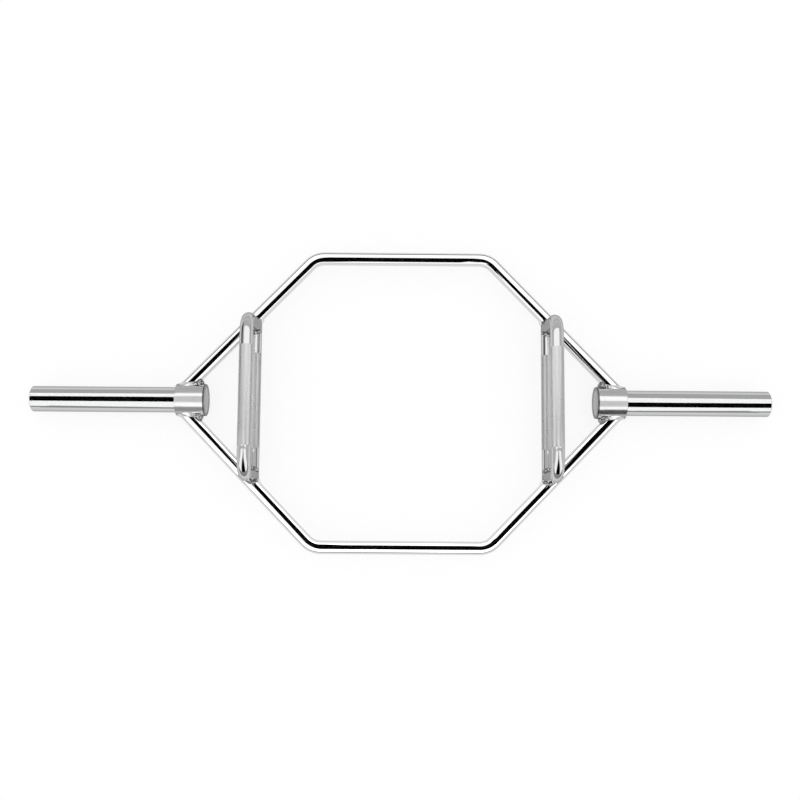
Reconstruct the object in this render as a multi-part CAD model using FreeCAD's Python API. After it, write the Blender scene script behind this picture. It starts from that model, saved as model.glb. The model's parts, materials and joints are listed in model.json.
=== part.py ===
import FreeCAD, Part
import math
import os

from FreeCAD import Vector

# Hex trap bar, in millimetres. X runs along the sleeves, Y from front to rear, Z up from the floor.
# The origin is on the floor under the middle of the hexagon. Every piece is solid steel unless it has a bore.

# Plate sleeves
sleeve_diameter = 49.0          # slides into the 50 mm hole of a plate
sleeve_length = 278.0           # bare length outside the hub
sleeve_wall = 5.0
sleeve_tip_chamfer = 2.0
shoulder_step = 2.0             # the spigot's radius is this much less than the sleeve's

# Hub barrels, which carry the sleeves and stop the plates
hub_length = 57.0
hub_wall = 8.45                 # round the bore for the spigot
hub_edge_chamfer = 1.2
spigot_clearance = 0.1          # on the diameter, between spigot and bore

# Discs that close the inner ends of the hubs
disc_thickness = 6.0
disc_seat_step = 3.0            # the disc's seat is this much larger in radius than the bore
disc_clearance = 0.1            # on the diameter
disc_recess = 0.5               # below the hub's inner face
disc_edge_chamfer = 0.6

# Plugs that close the outer ends of the sleeves
plug_thickness = 9.0
plug_clearance = 0.1            # on the diameter
plug_recess = 1.0               # below the sleeve's tip
plug_edge_chamfer = 1.0

# Bent frame bars, one in front of the lifter and one behind
frame_bar_diameter = 25.4
frame_depth = 561.0             # between the centrelines of the two straight runs
straight_run = 337.0            # from corner to corner of the centreline
frame_bend_radius = 40.0        # of the centreline
leg_landing_offset = 5.5        # legs land this far outboard of the hub's middle

# Handles, a low one in the plane of the frame and a raised one above it on each side
handle_diameter = 25.0
handle_spacing = 569.0          # between the axes of the left and right handles
knuckle_room = 91.5             # from a handle's axis out to the hub's inner face
handle_raise = 112.0            # from the low handle's axis up to the raised one's
riser_inset = 16.5              # risers stand this far inside the crossing of handle and leg
riser_bend_radius = 30.0        # of the centreline
foot_lap = 6.0                  # the riser's foot reaches this far down past the top of the leg
knurl_rise = 0.3                # the knurled grip stands this far above the plain bar
knurl_margin = 22.0             # plain bar between the riser's bend and the knurl

# Welds
hub_weld_size = 3.5             # bead round a leg where it meets its hub
foot_weld_size = 4.0            # bead round the foot of a riser
handle_weld_size = 3.5          # beads beside the end of a low handle
handle_weld_drop = 10.5         # these beads reach this far below the handle's axis
root_weld_leg = 3.0             # ring inside the hub, at the end of the spigot
root_weld_room = 1.5            # free space between that ring and the disc

# Radii and places that follow from the sizes above
sleeve_radius = sleeve_diameter / 2
sleeve_bore_radius = sleeve_radius - sleeve_wall
spigot_radius = sleeve_radius - shoulder_step
hub_bore_radius = spigot_radius + spigot_clearance / 2
hub_radius = hub_bore_radius + hub_wall
disc_seat_radius = hub_bore_radius + disc_seat_step
frame_bar_radius = frame_bar_diameter / 2
handle_radius = handle_diameter / 2

axis_height = hub_radius        # the bar lies on its two hubs
handle_x = handle_spacing / 2
hub_inner_x = handle_x + knuckle_room
hub_outer_x = hub_inner_x + hub_length
sleeve_tip_x = hub_outer_x + sleeve_length
disc_seat_x = hub_inner_x + disc_recess + disc_thickness
spigot_end_x = disc_seat_x + root_weld_room + root_weld_leg

corner_x = straight_run / 2
corner_y = frame_depth / 2
landing_x = hub_inner_x + hub_length / 2 + leg_landing_offset
leg_slope = (corner_y - hub_radius) / (landing_x - corner_x)
leg_aim_x = landing_x + hub_radius / leg_slope       # where the leg's axis meets the sleeve's axis

crossing_y = (leg_aim_x - handle_x) * leg_slope       # where the handle's axis meets the leg's axis
riser_y = crossing_y - riser_inset
raised_height = axis_height + handle_raise
foot_height = axis_height + frame_bar_radius - foot_lap
knurl_half_length = riser_y - riser_bend_radius - knurl_margin

across_x = Vector(1, 0, 0)
across_y = Vector(0, 1, 0)
upward = Vector(0, 0, 1)
leg_aim = Vector(leg_aim_x, 0, axis_height)
frame_corner = Vector(corner_x, corner_y, axis_height)
leg_direction = (frame_corner - leg_aim).normalize()


def mirrored(shape, axis):
    """The same shape on the other side of the middle plane that is square to axis."""
    return shape.mirror(Vector(0, 0, 0), axis)


def turned(profile):
    """A piece turned about the sleeve's axis, from its half section as (x, radius) points."""
    points = [Vector(x, 0, axis_height + radius) for x, radius in profile]
    section = Part.Face(Part.makePolygon(points + points[:1]))
    return section.revolve(Vector(0, 0, axis_height), across_x, 360)


def round_bar(radius, start, end):
    """A straight round bar from start to end."""
    run = end - start
    return Part.makeCylinder(radius, run.Length, start, run)


def bent_path(points, bend_radius):
    """Straight runs through the points, joined by tangent arcs at the inner ones."""
    edges = []
    run_start = points[0]
    for before, corner, after in zip(points, points[1:], points[2:]):
        to_before = (before - corner).normalize()
        to_after = (after - corner).normalize()
        half_angle = to_before.getAngle(to_after) / 2
        tangent_length = bend_radius / math.tan(half_angle)
        arc_start = corner + to_before * tangent_length
        arc_end = corner + to_after * tangent_length
        inward = (to_before + to_after).normalize()
        arc_middle = corner + inward * (bend_radius / math.sin(half_angle) - bend_radius)
        edges.append(Part.makeLine(run_start, arc_start))
        edges.append(Part.Arc(arc_start, arc_middle, arc_end).toShape())
        run_start = arc_end
    edges.append(Part.makeLine(run_start, points[-1]))
    return Part.Wire(edges)


def bent_bar(points, bend_radius, radius):
    """A round bar bent along the points."""
    ring = Part.Wire(Part.makeCircle(radius, points[0], points[1] - points[0]))
    return bent_path(points, bend_radius).makePipeShell([ring], True, False)


def make_sleeve():
    """A tube that takes the plates, with a spigot that goes into the hub."""
    return turned([
        (spigot_end_x, sleeve_bore_radius),
        (spigot_end_x, spigot_radius),
        (hub_outer_x, spigot_radius),
        (hub_outer_x, sleeve_radius),
        (sleeve_tip_x - sleeve_tip_chamfer, sleeve_radius),
        (sleeve_tip_x, sleeve_radius - sleeve_tip_chamfer),
        (sleeve_tip_x, sleeve_bore_radius),
    ])


def make_hub_barrel():
    """A bored barrel with a seat for the disc at its inner end."""
    return turned([
        (hub_inner_x, disc_seat_radius),
        (hub_inner_x, hub_radius - hub_edge_chamfer),
        (hub_inner_x + hub_edge_chamfer, hub_radius),
        (hub_outer_x - hub_edge_chamfer, hub_radius),
        (hub_outer_x, hub_radius - hub_edge_chamfer),
        (hub_outer_x, hub_bore_radius),
        (disc_seat_x, hub_bore_radius),
        (disc_seat_x, disc_seat_radius),
    ])


def make_hub_disc():
    """The disc that closes the inner end of the hub."""
    radius = disc_seat_radius - disc_clearance / 2
    face_x = hub_inner_x + disc_recess
    return turned([
        (face_x, 0),
        (face_x, radius - disc_edge_chamfer),
        (face_x + disc_edge_chamfer, radius),
        (disc_seat_x, radius),
        (disc_seat_x, 0),
    ])


def make_end_plug():
    """The plug that closes the tip of the sleeve."""
    radius = sleeve_bore_radius - plug_clearance / 2
    face_x = sleeve_tip_x - plug_recess
    return turned([
        (face_x - plug_thickness, 0),
        (face_x - plug_thickness, radius),
        (face_x - plug_edge_chamfer, radius),
        (face_x, radius - plug_edge_chamfer),
        (face_x, 0),
    ])


def make_root_weld():
    """The ring of weld that holds the spigot in the hub, behind the disc."""
    return turned([
        (spigot_end_x, hub_bore_radius),
        (spigot_end_x - root_weld_leg, hub_bore_radius),
        (spigot_end_x, hub_bore_radius - root_weld_leg),
    ])


def make_frame_bar():
    """The rear half of the hexagon, with both legs cut to fit round the hubs."""
    bar = bent_bar(
        [
            Vector(-leg_aim_x, 0, axis_height),
            Vector(-corner_x, corner_y, axis_height),
            frame_corner,
            leg_aim,
        ],
        frame_bend_radius,
        frame_bar_radius,
    )
    past_the_legs = leg_aim_x + frame_bar_diameter
    hub_line = round_bar(
        hub_radius,
        Vector(-past_the_legs, 0, axis_height),
        Vector(past_the_legs, 0, axis_height),
    )
    return bar.cut(hub_line)


def make_low_handle(legs):
    """The right low handle, cut to fit between the two legs."""
    bar = round_bar(
        handle_radius,
        Vector(handle_x, -crossing_y, axis_height),
        Vector(handle_x, crossing_y, axis_height),
    )
    return with_knurl(bar.cut(legs), axis_height)


def make_raised_handle(legs, low_handle):
    """The right raised handle, with its feet cut to fit on the legs and the low handle."""
    bar = bent_bar(
        [
            Vector(handle_x, -riser_y, foot_height),
            Vector(handle_x, -riser_y, raised_height),
            Vector(handle_x, riser_y, raised_height),
            Vector(handle_x, riser_y, foot_height),
        ],
        riser_bend_radius,
        handle_radius,
    )
    return with_knurl(bar.cut(legs).cut(low_handle), raised_height)


def with_knurl(bar, height):
    """The bar with its grip raised a little by the knurling."""
    grip = round_bar(
        handle_radius + knurl_rise,
        Vector(handle_x, -knurl_half_length, height),
        Vector(handle_x, knurl_half_length, height),
    )
    return bar.fuse(grip).removeSplitter()


def bead(round_pieces, neighbours):
    """Weld metal that lies within all the round pieces and outside the neighbours."""
    shape = round_pieces[0]
    for piece in round_pieces[1:]:
        shape = shape.common(piece)
    return shape.cut(neighbours)


def make_hub_weld(legs):
    """The bead round the right rear leg where it meets the hub."""
    inner_end = Vector(hub_inner_x + hub_edge_chamfer, 0, axis_height)
    outer_end = Vector(hub_outer_x - hub_edge_chamfer, 0, axis_height)
    leg_end = leg_aim + leg_direction * (2 * hub_radius + frame_bar_diameter)
    round_hub = round_bar(hub_radius + hub_weld_size, inner_end, outer_end)
    round_leg = round_bar(frame_bar_radius + hub_weld_size, leg_aim, leg_end)
    hub = round_bar(hub_radius, inner_end, outer_end)
    return bead([round_hub, round_leg], [hub] + legs)


def make_foot_weld(legs, low_handle, raised_handle):
    """The bead round the foot of the right rear riser."""
    foot = Vector(handle_x, riser_y, foot_height)
    round_riser = round_bar(handle_radius + foot_weld_size, foot, foot + upward * handle_diameter)
    round_base = round_leg_at_handle(foot_weld_size).fuse(round_handle_end(foot_weld_size))
    return bead([round_riser, round_base], legs + [low_handle, raised_handle])


def make_handle_weld(legs, low_handle):
    """The two beads beside the rear end of the right low handle, below the riser's foot."""
    reach = 2 * (handle_diameter + frame_bar_diameter)
    bottom = axis_height - handle_weld_drop
    inner_side = Part.makeBox(2 * reach, reach, foot_height - bottom, Vector(-reach, 0, bottom))
    inner_side.rotate(Vector(0, 0, 0), upward, math.degrees(across_x.getAngle(leg_direction)))
    inner_side.translate(Vector(handle_x, crossing_y, 0))
    round_pieces = [round_leg_at_handle(handle_weld_size), round_handle_end(handle_weld_size), inner_side]
    return bead(round_pieces, legs + [low_handle])


def round_leg_at_handle(extra):
    """The right rear leg near its low handle, thicker by extra all round."""
    reach = leg_direction * (2 * frame_bar_diameter)
    crossing = Vector(handle_x, crossing_y, axis_height)
    return round_bar(frame_bar_radius + extra, crossing - reach, crossing + reach)


def round_handle_end(extra):
    """The rear end of the right low handle, thicker by extra all round."""
    crossing = Vector(handle_x, crossing_y, axis_height)
    start = crossing - across_y * (riser_inset + 2 * handle_diameter)
    return round_bar(handle_radius + extra, start, crossing)


def add_pair(pieces, name, right_shape):
    """Keep a right piece and its mirror image on the left."""
    pieces["right_" + name] = right_shape
    pieces["left_" + name] = mirrored(right_shape, across_x)


def add_four(pieces, name, right_rear_shape):
    """Keep a piece of the right rear corner and its mirror images in the other three."""
    add_pair(pieces, "rear_" + name, right_rear_shape)
    add_pair(pieces, "front_" + name, mirrored(right_rear_shape, across_y))


def make_pieces():
    """Every piece by its name."""
    rear_bar = make_frame_bar()
    front_bar = mirrored(rear_bar, across_y)
    legs = [rear_bar, front_bar]
    low_handle = make_low_handle(legs)
    raised_handle = make_raised_handle(legs, low_handle)

    pieces = {"rear_frame_bar": rear_bar, "front_frame_bar": front_bar}
    add_pair(pieces, "hub_barrel", make_hub_barrel())
    add_pair(pieces, "hub_disc", make_hub_disc())
    add_pair(pieces, "sleeve", make_sleeve())
    add_pair(pieces, "sleeve_plug", make_end_plug())
    add_pair(pieces, "sleeve_root_weld", make_root_weld())
    add_pair(pieces, "low_handle", low_handle)
    add_pair(pieces, "raised_handle", raised_handle)
    add_four(pieces, "hub_weld", make_hub_weld(legs))
    add_four(pieces, "foot_weld", make_foot_weld(legs, low_handle, raised_handle))
    add_four(pieces, "low_handle_weld", make_handle_weld(legs, low_handle))
    return pieces


os.makedirs("parts", exist_ok=True)
for node, shape in make_pieces().items():
    shape.exportStep("parts/" + node + ".step")
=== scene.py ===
import json
import math

import bmesh
import bpy
from bpy.props import FloatProperty, FloatVectorProperty, IntProperty, PointerProperty
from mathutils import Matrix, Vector
from mathutils.geometry import tessellate_polygon

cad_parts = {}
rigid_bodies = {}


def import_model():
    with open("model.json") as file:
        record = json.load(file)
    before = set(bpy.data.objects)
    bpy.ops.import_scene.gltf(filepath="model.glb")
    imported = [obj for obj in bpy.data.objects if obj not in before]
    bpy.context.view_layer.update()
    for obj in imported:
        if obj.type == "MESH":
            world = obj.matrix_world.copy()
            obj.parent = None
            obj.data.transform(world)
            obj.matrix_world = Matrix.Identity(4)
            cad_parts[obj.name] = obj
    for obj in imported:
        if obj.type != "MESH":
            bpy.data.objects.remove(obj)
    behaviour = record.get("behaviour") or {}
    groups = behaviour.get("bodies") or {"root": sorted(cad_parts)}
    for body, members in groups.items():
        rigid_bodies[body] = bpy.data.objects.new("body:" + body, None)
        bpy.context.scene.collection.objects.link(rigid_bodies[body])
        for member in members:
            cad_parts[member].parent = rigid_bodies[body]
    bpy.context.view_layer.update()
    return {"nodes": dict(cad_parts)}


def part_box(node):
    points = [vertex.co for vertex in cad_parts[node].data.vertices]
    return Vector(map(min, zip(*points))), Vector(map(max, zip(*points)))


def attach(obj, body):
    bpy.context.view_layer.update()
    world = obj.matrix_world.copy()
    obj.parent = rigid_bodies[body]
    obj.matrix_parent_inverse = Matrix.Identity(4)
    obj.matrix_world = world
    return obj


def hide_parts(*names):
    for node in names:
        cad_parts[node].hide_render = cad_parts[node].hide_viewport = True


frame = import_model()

bl_info = {
    "name": "Hex Trap Bar",
    "version": (1, 0, 0),
    "blender": (4, 5, 0),
    "location": "View3D > Sidebar > Trap Bar",
    "description": "Builds the bright pieces of a hex trap bar over its solid model",
    "category": "Mesh",
}

# Places read from the frame, in metres. The right rear quarter gives them all, and the rest mirrors it.
hub_low, hub_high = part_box("right_hub_barrel")
disc_low, disc_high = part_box("right_hub_disc")
sleeve_low, sleeve_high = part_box("right_sleeve")
plug_low, plug_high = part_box("right_sleeve_plug")
_, bar_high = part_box("rear_frame_bar")
low_grip_low, low_grip_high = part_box("right_low_handle")
raised_low, raised_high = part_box("right_raised_handle")

AXIS_HEIGHT = hub_high.z / 2
HUB_RADIUS = hub_high.z - AXIS_HEIGHT
SLEEVE_RADIUS = sleeve_high.z - AXIS_HEIGHT
PLUG_RADIUS = plug_high.z - AXIS_HEIGHT
DISC_RADIUS = disc_high.z - AXIS_HEIGHT
BAR_RADIUS = bar_high.z - AXIS_HEIGHT
KNURL_RADIUS = low_grip_high.z - AXIS_HEIGHT
CORNER_Y = bar_high.y - BAR_RADIUS
HANDLE_X = (low_grip_low.x + low_grip_high.x) / 2
RAISED_HEIGHT = raised_high.z - KNURL_RADIUS
FOOT_HEIGHT = raised_low.z

ACROSS_X = Vector((1, 0, 0))
ACROSS_Y = Vector((0, 1, 0))
UPWARD = Vector((0, 0, 1))
SIDES = {"right": 1, "left": -1}
ENDS = {"rear": 1, "front": -1}
BODY = "root"


class TrapBarFrameSizes(bpy.types.PropertyGroup):
    """Sizes of the two bent bars that make the hexagon."""

    straight_run: FloatProperty(
        name="Straight run",
        description="Length of a bar's middle run, from corner to corner of its centreline",
        default=0.337,
        unit="LENGTH",
    )
    bend_radius: FloatProperty(
        name="Bend radius",
        description="Radius of the bends, on the centreline",
        default=0.040,
        unit="LENGTH",
    )
    leg_landing: FloatProperty(
        name="Leg landing",
        description="Where the axis of a leg meets the skin of the hub, from the middle of the bar",
        default=0.410,
        unit="LENGTH",
    )


class TrapBarHubSizes(bpy.types.PropertyGroup):
    """Sizes of the turned pieces on the sleeve's axis."""

    sleeve_wall: FloatProperty(
        name="Sleeve wall",
        description="Wall of the sleeve tube",
        default=0.005,
        unit="LENGTH",
    )
    shoulder: FloatProperty(
        name="Shoulder",
        description="Step in radius from the sleeve to its spigot in the hub",
        default=0.002,
        unit="LENGTH",
    )
    tip_round: FloatProperty(
        name="Tip round",
        description="Radius of the rounded rim at the tip of the sleeve",
        default=0.002,
        unit="LENGTH",
    )
    hub_edge: FloatProperty(
        name="Hub edge",
        description="Radius of the rounded rims of the hub",
        default=0.0012,
        unit="LENGTH",
    )
    seam_inset: FloatProperty(
        name="Seam inset",
        description="From the inner end of the hub to the middle of the turned groove",
        default=0.0022,
        unit="LENGTH",
    )
    seam_width: FloatProperty(
        name="Seam width",
        description="Width of the turned groove at the inner end of the hub",
        default=0.0014,
        unit="LENGTH",
    )
    seam_depth: FloatProperty(
        name="Seam depth",
        description="Depth of the turned groove",
        default=0.0012,
        unit="LENGTH",
    )
    disc_edge: FloatProperty(
        name="Disc edge",
        description="Radius of the rounded rim of the hub disc",
        default=0.0006,
        unit="LENGTH",
    )
    plug_edge: FloatProperty(
        name="Plug edge",
        description="Radius of the rounded rim of the sleeve plug",
        default=0.001,
        unit="LENGTH",
    )


class TrapBarHandleSizes(bpy.types.PropertyGroup):
    """Sizes of the low and raised handles and their knurling."""

    diameter: FloatProperty(
        name="Diameter",
        description="Diameter of the plain part of a handle",
        default=0.025,
        unit="LENGTH",
    )
    bend_radius: FloatProperty(
        name="Bend radius",
        description="Radius of the raised handle's bends, on the centreline",
        default=0.030,
        unit="LENGTH",
    )
    knurl_margin: FloatProperty(
        name="Knurl margin",
        description="Plain bar between the raised handle's bend and the knurling",
        default=0.022,
        unit="LENGTH",
    )
    knurl_depth: FloatProperty(
        name="Knurl depth",
        description="From the point of a diamond down to the bottom of the grooves",
        default=0.00024,
        unit="LENGTH",
    )
    knurl_step: FloatProperty(
        name="Knurl step",
        description="Half the length of a diamond, along the handle",
        default=0.0013,
        unit="LENGTH",
    )
    knurl_count: IntProperty(
        name="Knurl count",
        description="Diamonds round the handle",
        default=50,
        min=8,
    )


class TrapBarWeldSizes(bpy.types.PropertyGroup):
    """Sizes of the weld beads."""

    hub_bead: FloatProperty(
        name="Hub bead",
        description="Reach of the bead round a leg at its hub",
        default=0.0035,
        unit="LENGTH",
    )
    crotch_gain: FloatProperty(
        name="Crotch gain",
        description="How many times as wide the hub bead is in the sharp corner between leg and hub",
        default=2.3,
    )
    foot_bead: FloatProperty(
        name="Foot bead",
        description="Reach of the bead round the foot of a riser",
        default=0.005,
        unit="LENGTH",
    )
    handle_bead: FloatProperty(
        name="Handle bead",
        description="Reach of the beads beside the end of a low handle",
        default=0.0045,
        unit="LENGTH",
    )
    ripple_pitch: FloatProperty(
        name="Ripple pitch",
        description="Distance between two ripples along a bead",
        default=0.0024,
        unit="LENGTH",
    )
    ripple_height: FloatProperty(
        name="Ripple height",
        description="Height of a ripple",
        default=0.0004,
        unit="LENGTH",
    )
    lump_height: FloatProperty(
        name="Lump height",
        description="Height of the uneven lumps in a bead",
        default=0.0012,
        unit="LENGTH",
    )


class TrapBarFinish(bpy.types.PropertyGroup):
    """Colours of the metal finishes, with painted shade in the hubs' grooves and on the handles' plain
    plating.
    """

    chrome: FloatVectorProperty(
        name="Chrome",
        description="Colour of the bright plating",
        default=(0.88, 0.882, 0.885),
        subtype="COLOR",
        min=0,
        max=1,
    )
    sleeve: FloatVectorProperty(
        name="Sleeve",
        description="Colour of the hard plating on the sleeves",
        default=(0.77, 0.772, 0.775),
        subtype="COLOR",
        min=0,
        max=1,
    )
    # Darker than the frame's chrome: painted shade for the shaded floor that the handles mirror
    handle: FloatVectorProperty(
        name="Handle",
        description="Colour of the plating on the plain parts of the handles",
        default=(0.74, 0.742, 0.745),
        subtype="COLOR",
        min=0,
        max=1,
    )
    knurl: FloatVectorProperty(
        name="Knurl",
        description="Colour of the plating on the knurled grips",
        default=(0.715, 0.715, 0.715),
        subtype="COLOR",
        min=0,
        max=1,
    )
    satin: FloatVectorProperty(
        name="Satin",
        description="Colour of the satin hubs",
        default=(0.84, 0.84, 0.84),
        subtype="COLOR",
        min=0,
        max=1,
    )
    disc: FloatVectorProperty(
        name="Disc",
        description="Colour of the discs in the inner ends of the hubs",
        default=(0.43, 0.43, 0.43),
        subtype="COLOR",
        min=0,
        max=1,
    )
    # The groove's colour is painted shade: a dark line where the groove lies in shadow
    seam: FloatVectorProperty(
        name="Seam",
        description="Colour in the groove at the inner end of the hub",
        default=(0.16, 0.16, 0.16),
        subtype="COLOR",
        min=0,
        max=1,
    )
    weld: FloatVectorProperty(
        name="Weld",
        description="Colour of the plated welds",
        default=(0.85, 0.85, 0.85),
        subtype="COLOR",
        min=0,
        max=1,
    )


class TrapBarStage(bpy.types.PropertyGroup):
    """Floor, light and camera."""

    floor: FloatVectorProperty(
        name="Floor",
        description="Colour of the floor",
        default=(0.85, 0.85, 0.85),
        subtype="COLOR",
        min=0,
        max=1,
    )
    softbox: FloatProperty(
        name="Softbox",
        description="Brightness of the soft light overhead",
        default=1.2,
    )
    horizon: FloatProperty(
        name="Horizon",
        description="Brightness of the strip of wall just above the floor",
        default=0.345,
    )
    card_height: FloatProperty(
        name="Card height",
        description="Height of the dark card that hangs over the bar",
        default=0.685,
        unit="LENGTH",
    )
    lens: FloatProperty(
        name="Lens",
        description="Focal length of the camera",
        default=43.15,
        unit="CAMERA",
    )
    camera_place: FloatVectorProperty(
        name="Camera place",
        description="Where the camera stands",
        default=(-0.0095, -0.1788, 1.8796),
        subtype="TRANSLATION",
    )
    camera_turn: FloatVectorProperty(
        name="Camera turn",
        description="Tilt, swing and roll of the camera from looking straight down",
        default=(math.radians(5.615), math.radians(-0.231), math.radians(0.442)),
        subtype="EULER",
    )


# Places that follow from the frame and the sizes above

def leg_line(sizes):
    """A point on the axis of the right rear leg, and the leg's direction away from the hub."""
    corner = Vector((sizes.straight_run / 2, CORNER_Y, AXIS_HEIGHT))
    landing = Vector((sizes.leg_landing, HUB_RADIUS, AXIS_HEIGHT))
    direction = (corner - landing).normalized()
    aim = landing - direction * (HUB_RADIUS / direction.y)
    return aim, direction


def leg_crossing(sizes):
    """Where the axis of the right low handle meets the axis of the rear leg."""
    aim, direction = leg_line(sizes)
    return aim + direction * ((HANDLE_X - aim.x) / direction.x)


def riser_place(handle):
    """Distance of a riser's axis from the middle of the bar, front to rear."""
    return raised_high.y - handle.diameter / 2


def knurl_half_length(handle):
    """Half the length of the knurled grip."""
    return riser_place(handle) - handle.bend_radius - handle.knurl_margin


def mirrored(point, side, end):
    """A point of the right rear quarter, moved to the quarter on that side and end."""
    return Vector((point[0] * side, point[1] * end, point[2]))


def way_out(start, slide, bar_point, bar_direction, radius):
    """Where a line from start along slide leaves a round bar."""
    offset = start - bar_point
    offset -= bar_direction * offset.dot(bar_direction)
    travel = slide - bar_direction * slide.dot(bar_direction)
    gain = travel.dot(travel)
    approach = offset.dot(travel)
    depth = offset.dot(offset) - radius * radius
    distance = (math.sqrt(approach * approach - gain * depth) - approach) / gain
    return start + slide * distance


# Short ways to build node trees

def feed(tree, value, socket):
    """Give a socket the output of another node, or a plain value."""
    if isinstance(value, bpy.types.NodeSocket):
        tree.links.new(value, socket)
    else:
        socket.default_value = value


def add_node(tree, kind, inputs=None, **settings):
    """A new node with its settings and inputs."""
    made = tree.nodes.new(kind)
    for setting, value in settings.items():
        setattr(made, setting, value)
    for name, value in (inputs or {}).items():
        feed(tree, value, made.inputs[name])
    return made


def calculate(tree, operation, *values):
    """A sum, product or other number worked out from up to three values."""
    made = add_node(tree, "ShaderNodeMath", operation=operation)
    for socket, value in zip(made.inputs, values):
        feed(tree, value, socket)
    return made.outputs["Value"]


def combine(tree, operation, first, second=None, scale=None):
    """A vector worked out from other vectors."""
    made = add_node(tree, "ShaderNodeVectorMath", operation=operation)
    feed(tree, first, made.inputs[0])
    if second is not None:
        feed(tree, second, made.inputs[1])
    if scale is not None:
        feed(tree, scale, made.inputs["Scale"])
    return made.outputs["Vector"]


def dot(tree, first, second):
    """The dot product of two vectors."""
    made = add_node(tree, "ShaderNodeVectorMath", operation="DOT_PRODUCT")
    feed(tree, first, made.inputs[0])
    feed(tree, second, made.inputs[1])
    return made.outputs["Value"]


def new_tree(name, kinds):
    """A geometry tree with the named inputs, and those inputs as sockets to link from."""
    tree = bpy.data.node_groups.new(name, "GeometryNodeTree")
    tree.interface.new_socket("Geometry", in_out="INPUT", socket_type="NodeSocketGeometry")
    for input_name, kind in kinds.items():
        tree.interface.new_socket(input_name, in_out="INPUT", socket_type="NodeSocket" + kind)
    tree.interface.new_socket("Geometry", in_out="OUTPUT", socket_type="NodeSocketGeometry")
    return tree, add_node(tree, "NodeGroupInput").outputs


def end_tree(tree, geometry, material):
    """Close a tree: real geometry, with the material on it."""
    real = add_node(tree, "GeometryNodeRealizeInstances", {"Geometry": geometry})
    dressed = add_node(
        tree,
        "GeometryNodeSetMaterial",
        {"Geometry": real.outputs["Geometry"], "Material": material},
    )
    out = add_node(tree, "NodeGroupOutput")
    tree.links.new(dressed.outputs["Geometry"], out.inputs["Geometry"])


def grow(name, seed_mesh, tree, values):
    """The plain mesh that a tree grows from a seed mesh."""
    seed = bpy.data.objects.new(name, seed_mesh)
    bpy.context.scene.collection.objects.link(seed)
    modifier = seed.modifiers.new("Grow", "NODES")
    modifier.node_group = tree
    for item in tree.interface.items_tree:
        if item.in_out == "INPUT" and item.name in values:
            modifier[item.identifier] = values[item.name]
    grown = seed.evaluated_get(bpy.context.evaluated_depsgraph_get())
    mesh = bpy.data.meshes.new_from_object(grown)
    bpy.data.objects.remove(seed)
    return mesh


# Trees

BEND_STEPS = 24                 # points in each bend of a bar
MERGE_DISTANCE = 0.00002        # points closer than this become one


def coping_tree():
    """A group that slides what lies inside another round bar out to its skin, along a direction."""
    kinds = {
        "Selection": "Bool",
        "Bar Point": "Vector",
        "Bar Direction": "Vector",
        "Bar Radius": "Float",
        "Slide": "Vector",
    }
    tree, given = new_tree("Coped end", kinds)
    place = add_node(tree, "GeometryNodeInputPosition").outputs["Position"]
    from_bar = combine(tree, "SUBTRACT", place, given["Bar Point"])
    along_bar = combine(tree, "PROJECT", from_bar, given["Bar Direction"])
    offset = combine(tree, "SUBTRACT", from_bar, along_bar)
    slide_along_bar = combine(tree, "PROJECT", given["Slide"], given["Bar Direction"])
    travel = combine(tree, "SUBTRACT", given["Slide"], slide_along_bar)
    gain = dot(tree, travel, travel)
    approach = dot(tree, offset, travel)
    radius_squared = calculate(tree, "MULTIPLY", given["Bar Radius"], given["Bar Radius"])
    depth = calculate(tree, "SUBTRACT", dot(tree, offset, offset), radius_squared)
    approach_squared = calculate(tree, "MULTIPLY", approach, approach)
    gain_by_depth = calculate(tree, "MULTIPLY", gain, depth)
    under_root = calculate(tree, "SUBTRACT", approach_squared, gain_by_depth)
    reach = calculate(tree, "SUBTRACT", calculate(tree, "SQRT", under_root), approach)
    distance = calculate(tree, "DIVIDE", reach, gain)
    inside = calculate(tree, "LESS_THAN", depth, 0.0)
    both = add_node(tree, "FunctionNodeBooleanMath", operation="AND")
    feed(tree, given["Selection"], both.inputs[0])
    feed(tree, inside, both.inputs[1])
    moved = add_node(
        tree,
        "GeometryNodeSetPosition",
        {
            "Geometry": given["Geometry"],
            "Selection": both.outputs["Boolean"],
            "Offset": combine(tree, "SCALE", given["Slide"], scale=distance),
        },
    )
    out = add_node(tree, "NodeGroupOutput")
    tree.links.new(moved.outputs["Geometry"], out.inputs["Geometry"])
    return tree


def add_coping(tree, coping, geometry, selection, bar_point, bar_direction, bar_radius, slide):
    """Cope the selected end of the geometry round another bar."""
    inputs = {
        "Geometry": geometry,
        "Selection": selection,
        "Bar Point": bar_point,
        "Bar Direction": bar_direction,
        "Bar Radius": bar_radius,
        "Slide": slide,
    }
    return add_node(tree, "GeometryNodeGroup", inputs, node_tree=coping).outputs["Geometry"]


def add_count(tree, geometry):
    """Remember the number of each point of a curve."""
    capture = add_node(tree, "GeometryNodeCaptureAttribute", {"Geometry": geometry}, domain="POINT")
    capture.capture_items.new("INT", "Count")
    index = add_node(tree, "GeometryNodeInputIndex").outputs["Index"]
    tree.links.new(index, capture.inputs["Count"])
    return capture


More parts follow.
